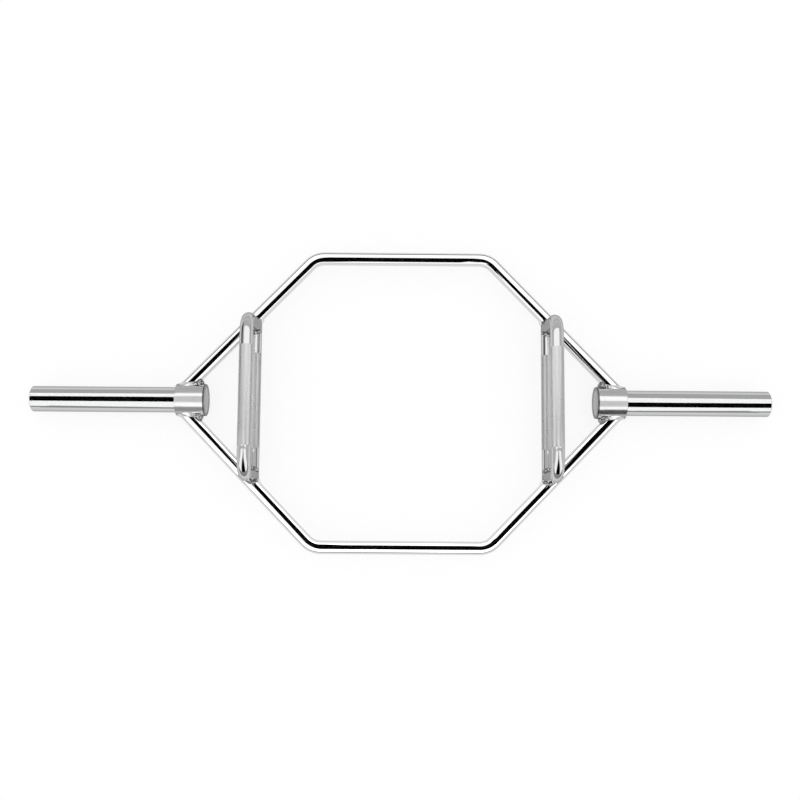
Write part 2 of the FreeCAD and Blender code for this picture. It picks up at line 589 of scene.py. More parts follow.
def add_round_bar(tree, path, bend_radius, ring_spacing, sides, radius):
    """A round bar along a path, bent at its corners; also the ring and side of each point."""
    curve = add_node(tree, "GeometryNodeMeshToCurve", {"Mesh": path}).outputs["Curve"]
    bent = add_node(
        tree,
        "GeometryNodeFilletCurve",
        {"Curve": curve, "Count": BEND_STEPS, "Radius": bend_radius},
        mode="POLY",
    )
    spaced = add_node(
        tree,
        "GeometryNodeResampleCurve",
        {"Curve": bent.outputs["Curve"], "Length": ring_spacing},
        mode="LENGTH",
    )
    circle = add_node(
        tree,
        "GeometryNodeCurvePrimitiveCircle",
        {"Resolution": sides, "Radius": radius},
        mode="RADIUS",
    )
    ring = add_count(tree, spaced.outputs["Curve"])
    side = add_count(tree, circle.outputs["Curve"])
    bar = add_node(
        tree,
        "GeometryNodeCurveToMesh",
        {
            "Curve": ring.outputs["Geometry"],
            "Profile Curve": side.outputs["Geometry"],
            "Fill Caps": True,
        },
    )
    return bar.outputs["Mesh"], ring.outputs["Count"], side.outputs["Count"]


def add_half_test(tree, axis, test):
    """True on the half of the bar where the coordinate is above, or below, zero."""
    place = add_node(tree, "GeometryNodeInputPosition").outputs["Position"]
    parts = add_node(tree, "ShaderNodeSeparateXYZ", {"Vector": place})
    return calculate(tree, test, parts.outputs[axis], 0.0)


def add_smooth(tree, geometry):
    """Merge what was slid together, and shade the bar as round."""
    merged = add_node(
        tree,
        "GeometryNodeMergeByDistance",
        {"Geometry": geometry, "Distance": MERGE_DISTANCE},
    )
    smooth = add_node(tree, "GeometryNodeSetShadeSmooth", {"Geometry": merged.outputs["Geometry"]})
    return smooth.outputs["Geometry"]


def frame_bar_tree(coping):
    """A bent bar whose two ends are coped round the hubs."""
    kinds = {
        "Bar Radius": "Float",
        "Bend Radius": "Float",
        "Ring Spacing": "Float",
        "Sides": "Int",
        "Hub Point": "Vector",
        "Hub Direction": "Vector",
        "Hub Radius": "Float",
        "Right Slide": "Vector",
        "Left Slide": "Vector",
        "Material": "Material",
    }
    tree, given = new_tree("Bent frame bar", kinds)
    bar, _, _ = add_round_bar(
        tree,
        given["Geometry"],
        given["Bend Radius"],
        given["Ring Spacing"],
        given["Sides"],
        given["Bar Radius"],
    )
    hub = (given["Hub Point"], given["Hub Direction"], given["Hub Radius"])
    right = add_half_test(tree, "X", "GREATER_THAN")
    bar = add_coping(tree, coping, bar, right, *hub, given["Right Slide"])
    left = add_half_test(tree, "X", "LESS_THAN")
    bar = add_coping(tree, coping, bar, left, *hub, given["Left Slide"])
    end_tree(tree, add_smooth(tree, bar), given["Material"])
    return tree


def handle_tree(coping):
    """A knurled handle whose ends are coped round the legs, and round the low handle."""
    kinds = {
        "Bar Radius": "Float",
        "Bend Radius": "Float",
        "Ring Spacing": "Float",
        "Sides": "Int",
        "Knurl Half Length": "Float",
        "Knurl Rise": "Float",
        "Knurl Drop": "Float",
        "Leg Radius": "Float",
        "Rear Leg Point": "Vector",
        "Rear Leg Direction": "Vector",
        "Rear Slide": "Vector",
        "Front Leg Point": "Vector",
        "Front Leg Direction": "Vector",
        "Front Slide": "Vector",
        "Under Bar Point": "Vector",
        "Under Bar Radius": "Float",
        "Material": "Material",
        "Knurl Material": "Material",
    }
    tree, given = new_tree("Knurled handle", kinds)
    bar, ring, side = add_round_bar(
        tree,
        given["Geometry"],
        given["Bend Radius"],
        given["Ring Spacing"],
        given["Sides"],
        given["Bar Radius"],
    )

    # Points and grooves of the knurling take turns along and round the grip
    place = add_node(tree, "GeometryNodeInputPosition").outputs["Position"]
    parts = add_node(tree, "ShaderNodeSeparateXYZ", {"Vector": place})
    from_middle = calculate(tree, "ABSOLUTE", parts.outputs["Y"])
    on_grip = calculate(tree, "LESS_THAN", from_middle, given["Knurl Half Length"])
    turn = calculate(tree, "MODULO", calculate(tree, "ADD", ring, side), 2.0)
    whole_drop = calculate(tree, "ADD", given["Knurl Rise"], given["Knurl Drop"])
    drop = calculate(tree, "MULTIPLY", turn, whole_drop)
    left_over = calculate(tree, "SUBTRACT", given["Knurl Rise"], drop)
    height = calculate(tree, "MULTIPLY", on_grip, left_over)
    normal = add_node(tree, "GeometryNodeInputNormal").outputs["Normal"]
    knurled = add_node(
        tree,
        "GeometryNodeSetPosition",
        {"Geometry": bar, "Offset": combine(tree, "SCALE", normal, scale=height)},
    ).outputs["Geometry"]

    rear_leg = (given["Rear Leg Point"], given["Rear Leg Direction"], given["Leg Radius"])
    front_leg = (given["Front Leg Point"], given["Front Leg Direction"], given["Leg Radius"])
    under_bar = (given["Under Bar Point"], tuple(ACROSS_Y), given["Under Bar Radius"])
    rear = add_half_test(tree, "Y", "GREATER_THAN")
    coped = add_coping(tree, coping, knurled, rear, *rear_leg, given["Rear Slide"])
    front = add_half_test(tree, "Y", "LESS_THAN")
    coped = add_coping(tree, coping, coped, front, *front_leg, given["Front Slide"])
    coped = add_coping(tree, coping, coped, True, *under_bar, tuple(UPWARD))
    smooth = add_smooth(tree, coped)

    split = add_node(
        tree,
        "GeometryNodeTriangulate",
        {"Mesh": smooth, "Selection": on_grip},
        quad_method="SHORTEST_DIAGONAL",
    )
    sharp = add_node(
        tree,
        "GeometryNodeSetShadeSmooth",
        {"Geometry": split.outputs["Mesh"], "Selection": on_grip, "Shade Smooth": False},
    )
    real = add_node(tree, "GeometryNodeRealizeInstances", {"Geometry": sharp.outputs["Geometry"]})
    plain = add_node(
        tree,
        "GeometryNodeSetMaterial",
        {"Geometry": real.outputs["Geometry"], "Material": given["Material"]},
    )
    dressed = add_node(
        tree,
        "GeometryNodeSetMaterial",
        {
            "Geometry": plain.outputs["Geometry"],
            "Selection": on_grip,
            "Material": given["Knurl Material"],
        },
    )
    out = add_node(tree, "NodeGroupOutput")
    tree.links.new(dressed.outputs["Geometry"], out.inputs["Geometry"])
    return tree


GRID_SIZE = 1.0                 # of the flat grid that is bent into a bead
BEAD_ACROSS = 9                 # points across the face of a bead
COLUMN_ROOM = 0.1               # how closely the number of a column is told
RIPPLE_BOW = 0.8                # how far the ripples bow along the bead, in ripples
LUMP_SCALE = 330.0              # lumps per metre
LUMP_DETAIL = 2.0
NOISE_MEAN = 0.5
UNSHADED_CORNER = 0.3              # cosine of the corner that a bead fills: below this it gets no painted shade
SHADED_CORNER = 0.6              # above this it is in painted shade all over
SMOOTH_SHARE = 0.2              # how much of the relief is left where a bead has no painted shade
TOE_SHARE = 0.05                # how much of a bead's face belongs to each of its toe lines of painted shade
PAINTED_SHADE_MARK = "painted_shade"
TOE_SHADE_MARK = "toe"


def add_rail(tree, rails, number, along):
    """The place on one of the three rails at a share of its length."""
    sample = add_node(
        tree,
        "GeometryNodeSampleCurve",
        {"Curves": rails, "Factor": along, "Curve Index": number},
        mode="FACTOR",
        use_all_curves=False,
    )
    return sample.outputs["Position"]


def add_choice(tree, test, otherwise, chosen):
    """The chosen vector where the test holds, and the other elsewhere."""
    switch = add_node(tree, "GeometryNodeSwitch", input_type="VECTOR")
    feed(tree, test, switch.inputs["Switch"])
    feed(tree, otherwise, switch.inputs["False"])
    feed(tree, chosen, switch.inputs["True"])
    return switch.outputs["Output"]


def bead_tree():
    """A weld bead between two toe lines, over a root line, with ripples and lumps on its face."""
    kinds = {
        "Steps": "Int",
        "Ripples": "Float",
        "Ripple Height": "Float",
        "Lump Height": "Float",
        "Bulge": "Float",
        "Painted Shade": "Float",
        "Open": "Float",
        "Seed": "Float",
        "Material": "Material",
    }
    tree, given = new_tree("Weld bead", kinds)
    rails = add_node(tree, "GeometryNodeMeshToCurve", {"Mesh": given["Geometry"]}).outputs["Curve"]
    columns = BEAD_ACROSS + 2
    grid = add_node(
        tree,
        "GeometryNodeMeshGrid",
        {
            "Size X": GRID_SIZE,
            "Size Y": GRID_SIZE,
            "Vertices X": given["Steps"],
            "Vertices Y": columns,
        },
    )
    place = add_node(tree, "GeometryNodeInputPosition").outputs["Position"]
    parts = add_node(tree, "ShaderNodeSeparateXYZ", {"Vector": place})
    along = calculate(tree, "ADD", parts.outputs["X"], GRID_SIZE / 2)
    from_edge = calculate(tree, "ADD", parts.outputs["Y"], GRID_SIZE / 2)
    column = calculate(tree, "ROUND", calculate(tree, "MULTIPLY", from_edge, columns - 1.0))
    across = calculate(tree, "MINIMUM", calculate(tree, "DIVIDE", column, BEAD_ACROSS - 1.0), 1.0)
    on_root = calculate(tree, "COMPARE", column, float(BEAD_ACROSS), COLUMN_ROOM)
    closing = calculate(tree, "COMPARE", column, columns - 1.0, COLUMN_ROOM)

    first_toe = add_rail(tree, rails, 0, along)
    root = add_rail(tree, rails, 1, along)
    second_toe = add_rail(tree, rails, 2, along)
    middle = combine(tree, "SCALE", combine(tree, "ADD", first_toe, second_toe), scale=0.5)
    outward = combine(tree, "SUBTRACT", middle, root)
    crown = combine(tree, "ADD", middle, combine(tree, "SCALE", outward, scale=given["Bulge"]))

    left_over = calculate(tree, "SUBTRACT", 1.0, across)
    first_share = calculate(tree, "MULTIPLY", left_over, left_over)
    crown_share = calculate(tree, "MULTIPLY", calculate(tree, "MULTIPLY", across, left_over), 2.0)
    second_share = calculate(tree, "MULTIPLY", across, across)
    face = combine(tree, "SCALE", first_toe, scale=first_share)
    face = combine(tree, "ADD", face, combine(tree, "SCALE", crown, scale=crown_share))
    face = combine(tree, "ADD", face, combine(tree, "SCALE", second_toe, scale=second_share))

    from_crest = calculate(tree, "SUBTRACT", calculate(tree, "MULTIPLY", across, 2.0), 1.0)
    bow = calculate(tree, "MULTIPLY", calculate(tree, "MULTIPLY", from_crest, from_crest), RIPPLE_BOW)
    phase = calculate(tree, "ADD", calculate(tree, "MULTIPLY", along, given["Ripples"]), bow)
    swing = calculate(tree, "SINE", calculate(tree, "MULTIPLY", phase, math.pi))
    wave = calculate(tree, "ABSOLUTE", swing)
    noise = add_node(
        tree,
        "ShaderNodeTexNoise",
        {"Vector": face, "W": given["Seed"], "Scale": LUMP_SCALE, "Detail": LUMP_DETAIL},
        noise_dimensions="4D",
    )
    lump = calculate(tree, "SUBTRACT", noise.outputs["Fac"], NOISE_MEAN)
    to_first = combine(tree, "NORMALIZE", combine(tree, "SUBTRACT", first_toe, root))
    to_second = combine(tree, "NORMALIZE", combine(tree, "SUBTRACT", second_toe, root))
    # Painted shade for the weld: strongest where the bead fills a sharp corner between two bars, or all
    # over where the bead's input asks for it
    sharp = add_node(
        tree,
        "ShaderNodeMapRange",
        {
            "Value": dot(tree, to_first, to_second),
            "From Min": UNSHADED_CORNER,
            "From Max": SHADED_CORNER,
        },
    )
    painted_shade = calculate(tree, "MAXIMUM", sharp.outputs["Result"], given["Painted Shade"])
    # Thin lines of painted shade along both toes, in the crease where the bead meets the bar
    at_first_toe = calculate(tree, "COMPARE", across, 0.0, TOE_SHARE)
    at_second_toe = calculate(tree, "COMPARE", across, 1.0, TOE_SHARE)
    toe_painted_shade = calculate(tree, "MAXIMUM", at_first_toe, at_second_toe)
    relief = calculate(
        tree,
        "ADD",
        calculate(tree, "MULTIPLY", wave, given["Ripple Height"]),
        calculate(tree, "MULTIPLY", lump, given["Lump Height"]),
    )
    window = calculate(tree, "SINE", calculate(tree, "MULTIPLY", across, math.pi))
    roughened = calculate(tree, "MULTIPLY_ADD", painted_shade, 1.0 - SMOOTH_SHARE, SMOOTH_SHARE)
    relief = calculate(tree, "MULTIPLY", calculate(tree, "MULTIPLY", relief, window), roughened)
    straight_out = combine(tree, "NORMALIZE", outward)
    face = combine(tree, "ADD", face, combine(tree, "SCALE", straight_out, scale=relief))

    face = add_choice(tree, on_root, face, root)
    face = add_choice(tree, closing, face, first_toe)
    arch = calculate(tree, "SINE", calculate(tree, "MULTIPLY", along, math.pi))
    rounded = calculate(tree, "SQRT", calculate(tree, "MAXIMUM", arch, 0.0))
    shrink = calculate(tree, "MULTIPLY", given["Open"], calculate(tree, "SUBTRACT", 1.0, rounded))
    to_root = combine(tree, "SUBTRACT", root, face)
    face = combine(tree, "ADD", face, combine(tree, "SCALE", to_root, scale=shrink))

    marked = grid.outputs["Mesh"]
    for mark, value in ((PAINTED_SHADE_MARK, painted_shade), (TOE_SHADE_MARK, toe_painted_shade)):
        keep = add_node(
            tree,
            "GeometryNodeStoreNamedAttribute",
            {"Geometry": marked, "Name": mark, "Value": value},
            data_type="FLOAT",
            domain="POINT",
        )
        marked = keep.outputs["Geometry"]
    shaped = add_node(tree, "GeometryNodeSetPosition", {"Geometry": marked, "Position": face})
    end_tree(tree, add_smooth(tree, shaped.outputs["Geometry"]), given["Material"])
    return tree


# Meshes made directly

TURNED_SEGMENTS = 160           # round a turned piece
SHARP_ANGLE = math.radians(32)  # edges that turn more than this stay sharp
ROUND_STEPS = 4                 # in a rounded rim


def rounded_corner(corner_x, corner_radius, size, x_way, radius_way):
    """Points of a rounded outer rim, from the side of a turned piece to its end face, as (x, radius)."""
    points = []
    for step in range(ROUND_STEPS + 1):
        angle = math.pi / 2 * step / ROUND_STEPS
        x = corner_x - x_way * size * (1 - math.sin(angle))
        radius = corner_radius - radius_way * size * (1 - math.cos(angle))
        points.append((x, radius))
    return points


def join_rings(shape, ring, following):
    """Faces between two neighbouring rings, either of which may be a pole."""
    if len(ring) == 1 and len(following) == 1:
        return
    for step in range(TURNED_SEGMENTS):
        after = (step + 1) % TURNED_SEGMENTS
        corners = [ring[step % len(ring)], ring[after % len(ring)]]
        corners += [following[after % len(following)], following[step % len(following)]]
        distinct = list(dict.fromkeys(corners))
        shape.faces.new(distinct)


def turned_mesh(name, profile, side):
    """A piece turned about the sleeve's axis from a closed half section; a radius of zero is a pole."""
    shape = bmesh.new()
    rings = []
    for x, radius in profile:
        if radius == 0:
            rings.append([shape.verts.new((side * x, 0, AXIS_HEIGHT))])
            continue
        ring = []
        for step in range(TURNED_SEGMENTS):
            angle = 2 * math.pi * step / TURNED_SEGMENTS
            ring.append(shape.verts.new((
                side * x,
                radius * math.sin(angle),
                AXIS_HEIGHT + radius * math.cos(angle),
            )))
        rings.append(ring)
    for ring, following in zip(rings, rings[1:] + rings[:1]):
        join_rings(shape, ring, following)
    bmesh.ops.recalc_face_normals(shape, faces=shape.faces)
    mesh = bpy.data.meshes.new(name)
    shape.to_mesh(mesh)
    shape.free()
    mesh.shade_smooth()
    mesh.set_sharp_from_angle(angle=SHARP_ANGLE)
    return mesh


def path_mesh(name, points):
    """A line of edges through the points."""
    mesh = bpy.data.meshes.new(name)
    edges = [(number, number + 1) for number in range(len(points) - 1)]
    mesh.from_pydata(points, edges, [])
    return mesh


def rails_mesh(name, rails, closed):
    """Three lines of edges, side by side, for a weld bead."""
    points = []
    edges = []
    for rail in rails:
        first = len(points)
        points += rail
        edges += [(first + number, first + number + 1) for number in range(len(rail) - 1)]
        if closed:
            edges.append((first + len(rail) - 1, first))
    mesh = bpy.data.meshes.new(name)
    mesh.from_pydata(points, edges, [])
    return mesh


def facing_out(mesh):
    """The same closed mesh with all its faces turned outwards."""
    shape = bmesh.new()
    shape.from_mesh(mesh)
    bmesh.ops.recalc_face_normals(shape, faces=shape.faces)
    shape.to_mesh(mesh)
    shape.free()
    return mesh


def place_piece(name, mesh, node):
    """A finished piece that stands for a node of the frame."""
    piece = bpy.data.objects.new(name, mesh)
    bpy.context.scene.collection.objects.link(piece)
    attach(piece, BODY)
    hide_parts(node)
    return piece


# Materials

# Patches per metre along each axis
CHROME_CLOUD = (30.0, 30.0, 30.0)
FRAME_GRAIN = (300.0, 300.0, 300.0)
SLEEVE_GRAIN = (1800.0, 40.0, 40.0)
KNURL_CLOUD = (60.0, 60.0, 60.0)
KNURL_SPECKLE = (900.0, 900.0, 900.0)
SATIN_CLOUD = (45.0, 45.0, 45.0)
HUB_GRAIN = (1100.0, 60.0, 60.0)
DISC_GRAIN = (60.0, 500.0, 500.0)
PIT_GRAIN = (420.0, 420.0, 420.0)

# Detail of the noise that makes them
PLAIN_DETAIL = 2.0
SATIN_DETAIL = 3.0
FINE_DETAIL = 4.0
NOISE_RANGE = (0.3, 0.7)        # nearly all of the noise lies between these

# How much darker a finish is in places
CHROME_TONE = 0.04
KNURL_TONE = 0.12
SATIN_TONE = 0.1
# Painted shade on the welds: how much darker it makes their colour
PAINTED_SHADE_TONE = 0.92

# Roughness, least and most
CHROME_ROUGHNESS = (0.03, 0.07)
KNURL_ROUGHNESS = (0.26, 0.36)
SATIN_ROUGHNESS = (0.2, 0.26)
WELD_ROUGHNESS = (0.22, 0.37)

# Strength and depth of the fine marks
CHROME_MARKS = (0.02, 0.0002)
SATIN_MARKS = (0.1, 0.0002)
PIT_MARKS = (0.5, 0.0006)

# How much of the gloss is left at grazing angles
FULL_EDGE_TONE = 1.0
HARD_EDGE_TONE = 0.5
SATIN_EDGE_TONE = 0.3

TURNED_STRETCH = 0.6            # how far the lines on a turned piece stretch the gloss
FACED_STRETCH = 0.0
QUARTER_TURN = 0.25
PAINTED_SHADE_RANGE = (0.64, 0.46)       # from no painted shade to black, in the noise of the pits
TOE_SHADE = 0.95                # how dark the painted shade along a bead's toe lines is


def grey(level):
    """A colour without a hue."""
    return (level, level, level, 1.0)


def metal(name, edge_tone=FULL_EDGE_TONE):
    """A new metal material, with its tree, shader and object coordinates."""
    material = bpy.data.materials.new(name)
    material.use_nodes = True
    tree = material.node_tree
    shader = tree.nodes["Principled BSDF"]
    shader.inputs["Metallic"].default_value = 1.0
    shader.inputs["Specular Tint"].default_value = grey(edge_tone)
    place = add_node(tree, "ShaderNodeTexCoord").outputs["Object"]
    return material, tree, shader, place


def add_stretched_noise(tree, place, scale, detail=PLAIN_DETAIL):
    """Noise on object coordinates, with its own scale along each axis."""
    mapping = add_node(tree, "ShaderNodeMapping", {"Vector": place, "Scale": scale})
    noise = add_node(
        tree,
        "ShaderNodeTexNoise",
        {"Vector": mapping.outputs["Vector"], "Scale": 1.0, "Detail": detail},
    )
    return noise.outputs["Fac"]


def add_range(tree, value, low, high):
    """The noise spread from low to high."""
    noise_low, noise_high = NOISE_RANGE
    spread = add_node(
        tree,
        "ShaderNodeMapRange",
        {
            "Value": value,
            "From Min": noise_low,
            "From Max": noise_high,
            "To Min": low,
            "To Max": high,
        },
    )
    return spread.outputs["Result"]


def add_tone(tree, value, colour, depth):
    """The colour, and a darker one where the value is low."""
    darker = [part * (1 - depth) for part in colour] + [1.0]
    mix = add_node(tree, "ShaderNodeMix", {"Factor": value}, data_type="RGBA")
    feed(tree, darker, mix.inputs["A"])
    feed(tree, [*colour, 1.0], mix.inputs["B"])
    return mix.outputs["Result"]


def add_relief(tree, height, strength, distance):
    """A fine bump from a height."""
    bump = add_node(
        tree,
        "ShaderNodeBump",
        {"Height": height, "Strength": strength, "Distance": distance},
    )
    return bump.outputs["Normal"]


def chrome_material(name, colour, grain, edge_tone):
    """Bright plating: a cloudy gloss, faint polishing marks along the grain and a slight tone."""
    material, tree, shader, place = metal(name, edge_tone)
    cloud = add_stretched_noise(tree, place, CHROME_CLOUD, FINE_DETAIL)
    marks = add_stretched_noise(tree, place, grain)
    feed(tree, add_tone(tree, cloud, colour, CHROME_TONE), shader.inputs["Base Color"])
    feed(tree, add_range(tree, cloud, *CHROME_ROUGHNESS), shader.inputs["Roughness"])
    feed(tree, add_relief(tree, marks, *CHROME_MARKS), shader.inputs["Normal"])
    return material


def knurl_material(name, colour):
    """Plating on the knurling: duller, and speckled from wear and dirt."""
    material, tree, shader, place = metal(name, HARD_EDGE_TONE)
    cloud = add_stretched_noise(tree, place, KNURL_CLOUD, FINE_DETAIL)
    speckle = add_stretched_noise(tree, place, KNURL_SPECKLE)
    feed(tree, add_tone(tree, speckle, colour, KNURL_TONE), shader.inputs["Base Color"])
    feed(tree, add_range(tree, cloud, *KNURL_ROUGHNESS), shader.inputs["Roughness"])
    return material


def satin_material(name, colour, grain, stretch, edge_tone):
    """A satin finish: fine lines that break up the gloss and stretch it along the hub's axis."""
    material, tree, shader, place = metal(name, edge_tone)
    lines = add_stretched_noise(tree, place, grain, SATIN_DETAIL)
    cloud = add_stretched_noise(tree, place, SATIN_CLOUD, SATIN_DETAIL)
    feed(tree, add_tone(tree, lines, colour, SATIN_TONE), shader.inputs["Base Color"])
    feed(tree, add_range(tree, cloud, *SATIN_ROUGHNESS), shader.inputs["Roughness"])
    feed(tree, add_relief(tree, lines, *SATIN_MARKS), shader.inputs["Normal"])
    shader.inputs["Anisotropic"].default_value = stretch
    shader.inputs["Anisotropic Rotation"].default_value = QUARTER_TURN
    tangent = add_node(tree, "ShaderNodeTangent", direction_type="RADIAL", axis="X")
    tree.links.new(tangent.outputs["Tangent"], shader.inputs["Tangent"])
    return material


def weld_material(name, colour):
    """Plated weld metal: bright, with painted shade that is mottled in sharp corners and on the beads
    marked for it, and dark along the toes.
    """
    material, tree, shader, place = metal(name)
    painted_shade = add_node(tree, "ShaderNodeAttribute", attribute_name=PAINTED_SHADE_MARK).outputs["Fac"]
    toe = add_node(tree, "ShaderNodeAttribute", attribute_name=TOE_SHADE_MARK).outputs["Fac"]
    pits = add_stretched_noise(tree, place, PIT_GRAIN, FINE_DETAIL)
    unshaded_pits, black_pits = PAINTED_SHADE_RANGE
    patches = add_node(
        tree,
        "ShaderNodeMapRange",
        {"Value": pits, "From Min": unshaded_pits, "From Max": black_pits},
    )
    # The painted shade, mottled by the noise of the pits
    mottle = calculate(tree, "MULTIPLY", patches.outputs["Result"], painted_shade)
    dark = calculate(tree, "MAXIMUM", mottle, calculate(tree, "MULTIPLY", toe, TOE_SHADE))
    unshaded_share = calculate(tree, "SUBTRACT", 1.0, dark)
    feed(tree, add_tone(tree, unshaded_share, colour, PAINTED_SHADE_TONE), shader.inputs["Base Color"])
    smoothest, roughest = WELD_ROUGHNESS
    roughness = calculate(tree, "MULTIPLY_ADD", dark, roughest - smoothest, smoothest)
    feed(tree, roughness, shader.inputs["Roughness"])
    pits_in_painted_shade = calculate(tree, "MULTIPLY", pits, painted_shade)
    feed(tree, add_relief(tree, pits_in_painted_shade, *PIT_MARKS), shader.inputs["Normal"])
    return material


# Bars, sleeves, hubs and handles

BAR_SIDES = 72                  # round a frame bar
BAR_RING_SPACING = 0.003        # along it
FACED_LAYER = 1                 # place of the end face's finish among a hub's materials
SEAM_SHADE_LAYER = 2                  # and of the groove's, which is painted dark as shade


class TRAPBAR_OT_frame_bars(bpy.types.Operator):
    """Bend the front and rear frame bars and cope their legs round the hubs"""

    bl_idname = "trap_bar.frame_bars"
    bl_label = "Frame Bars"

    def execute(self, context):
        sizes = context.scene.trap_bar_frame
        finish = context.scene.trap_bar_finish
        chrome = chrome_material("frame_chrome", finish.chrome, FRAME_GRAIN, FULL_EDGE_TONE)
        tree = frame_bar_tree(coping_tree())
        aim, direction = leg_line(sizes)
        corner = Vector((sizes.straight_run / 2, CORNER_Y, AXIS_HEIGHT))
        for end_name, end in ENDS.items():
            path = [
                mirrored(aim, -1, end),
                mirrored(corner, -1, end),
                mirrored(corner, 1, end),
                mirrored(aim, 1, end),
            ]
            values = {
                "Bar Radius": BAR_RADIUS,
                "Bend Radius": sizes.bend_radius,
                "Ring Spacing": BAR_RING_SPACING,
                "Sides": BAR_SIDES,
                "Hub Point": (0.0, 0.0, AXIS_HEIGHT),
                "Hub Direction": ACROSS_X,
                "Hub Radius": HUB_RADIUS,
                "Right Slide": (direction.x, direction.y * end, 0.0),
                "Left Slide": (-direction.x, direction.y * end, 0.0),
                "Material": chrome,
            }
            node = end_name + "_frame_bar"
            seed = path_mesh(node + "_path", path)
            mesh = facing_out(grow(node + "_seed", seed, tree, values))
            place_piece(node + "_bright", mesh, node)
        return {"FINISHED"}


class TRAPBAR_OT_sleeves(bpy.types.Operator):
    """Turn the two plate sleeves and the plugs in their tips"""

    bl_idname = "trap_bar.sleeves"
    bl_label = "Sleeves and Plugs"

    def execute(self, context):
        sizes = context.scene.trap_bar_hub
        finish = context.scene.trap_bar_finish
        chrome = chrome_material("sleeve_chrome", finish.sleeve, SLEEVE_GRAIN, HARD_EDGE_TONE)
        bore = SLEEVE_RADIUS - sizes.sleeve_wall
        spigot = SLEEVE_RADIUS - sizes.shoulder
        rim = sizes.tip_round / 2
        sleeve = [
            (sleeve_low.x, bore),
            (sleeve_low.x, spigot),
            (hub_high.x, spigot),
            (hub_high.x, SLEEVE_RADIUS),
        ]
        sleeve += rounded_corner(sleeve_high.x, SLEEVE_RADIUS, sizes.tip_round, 1, 1)
        sleeve += [(sleeve_high.x, bore + rim), (sleeve_high.x - rim, bore)]
        plug = [(plug_low.x, 0), (plug_low.x, PLUG_RADIUS)]
        plug += rounded_corner(plug_high.x, PLUG_RADIUS, sizes.plug_edge, 1, 1)
        plug += [(plug_high.x, 0)]
        for side_name, side in SIDES.items():
            for node, profile in (("_sleeve", sleeve), ("_sleeve_plug", plug)):
                name = side_name + node
                mesh = turned_mesh(name + "_turned", profile, side)
                mesh.materials.append(chrome)
                place_piece(name + "_bright", mesh, name)
        return {"FINISHED"}


class TRAPBAR_OT_hubs(bpy.types.Operator):
    """Turn the two hub barrels and the discs in their inner ends"""

    bl_idname = "trap_bar.hubs"
    bl_label = "Hubs and Discs"

    def execute(self, context):
        sizes = context.scene.trap_bar_hub
        finish = context.scene.trap_bar_finish
        turned = satin_material("hub_satin", finish.satin, HUB_GRAIN, TURNED_STRETCH, SATIN_EDGE_TONE)
        faced = satin_material("disc_satin", finish.disc, DISC_GRAIN, FACED_STRETCH, FULL_EDGE_TONE)
        # The groove's material is painted dark, as the shade in it
        seam = satin_material("groove_painted_shade", finish.seam, HUB_GRAIN, FACED_STRETCH, FULL_EDGE_TONE)
        bore = SLEEVE_RADIUS - sizes.shoulder
        barrel = [(disc_high.x, bore), (disc_high.x, DISC_RADIUS), (hub_low.x, DISC_RADIUS)]
        barrel += reversed(rounded_corner(hub_low.x, HUB_RADIUS, sizes.hub_edge, -1, 1))
        seam_x = hub_low.x + sizes.seam_inset
        seam_low = seam_x - sizes.seam_width / 2
        seam_high = seam_x + sizes.seam_width / 2
        seam_bottom = HUB_RADIUS - sizes.seam_depth
        barrel += [(seam_low, HUB_RADIUS), (seam_x, seam_bottom), (seam_high, HUB_RADIUS)]
        barrel += rounded_corner(hub_high.x, HUB_RADIUS, sizes.hub_edge, 1, 1)
        barrel += [(hub_high.x, bore)]
        disc = [(disc_high.x, 0), (disc_high.x, DISC_RADIUS)]
        disc += rounded_corner(disc_low.x, DISC_RADIUS, sizes.disc_edge, -1, 1)
        disc += [(disc_low.x, 0)]
        for side_name, side in SIDES.items():
            for node, profile, satin in (("_hub_barrel", barrel, turned), ("_hub_disc", disc, faced)):
                name = side_name + node
                mesh = turned_mesh(name + "_turned", profile, side)
                for layer in (satin, faced, seam):
                    mesh.materials.append(layer)
                for face in mesh.polygons:
                    x = abs(face.center.x)
                    if x < seam_low:
                        face.material_index = FACED_LAYER
                    elif x < seam_high:
                        face.material_index = SEAM_SHADE_LAYER
                place_piece(name + "_satin", mesh, name)
        return {"FINISHED"}


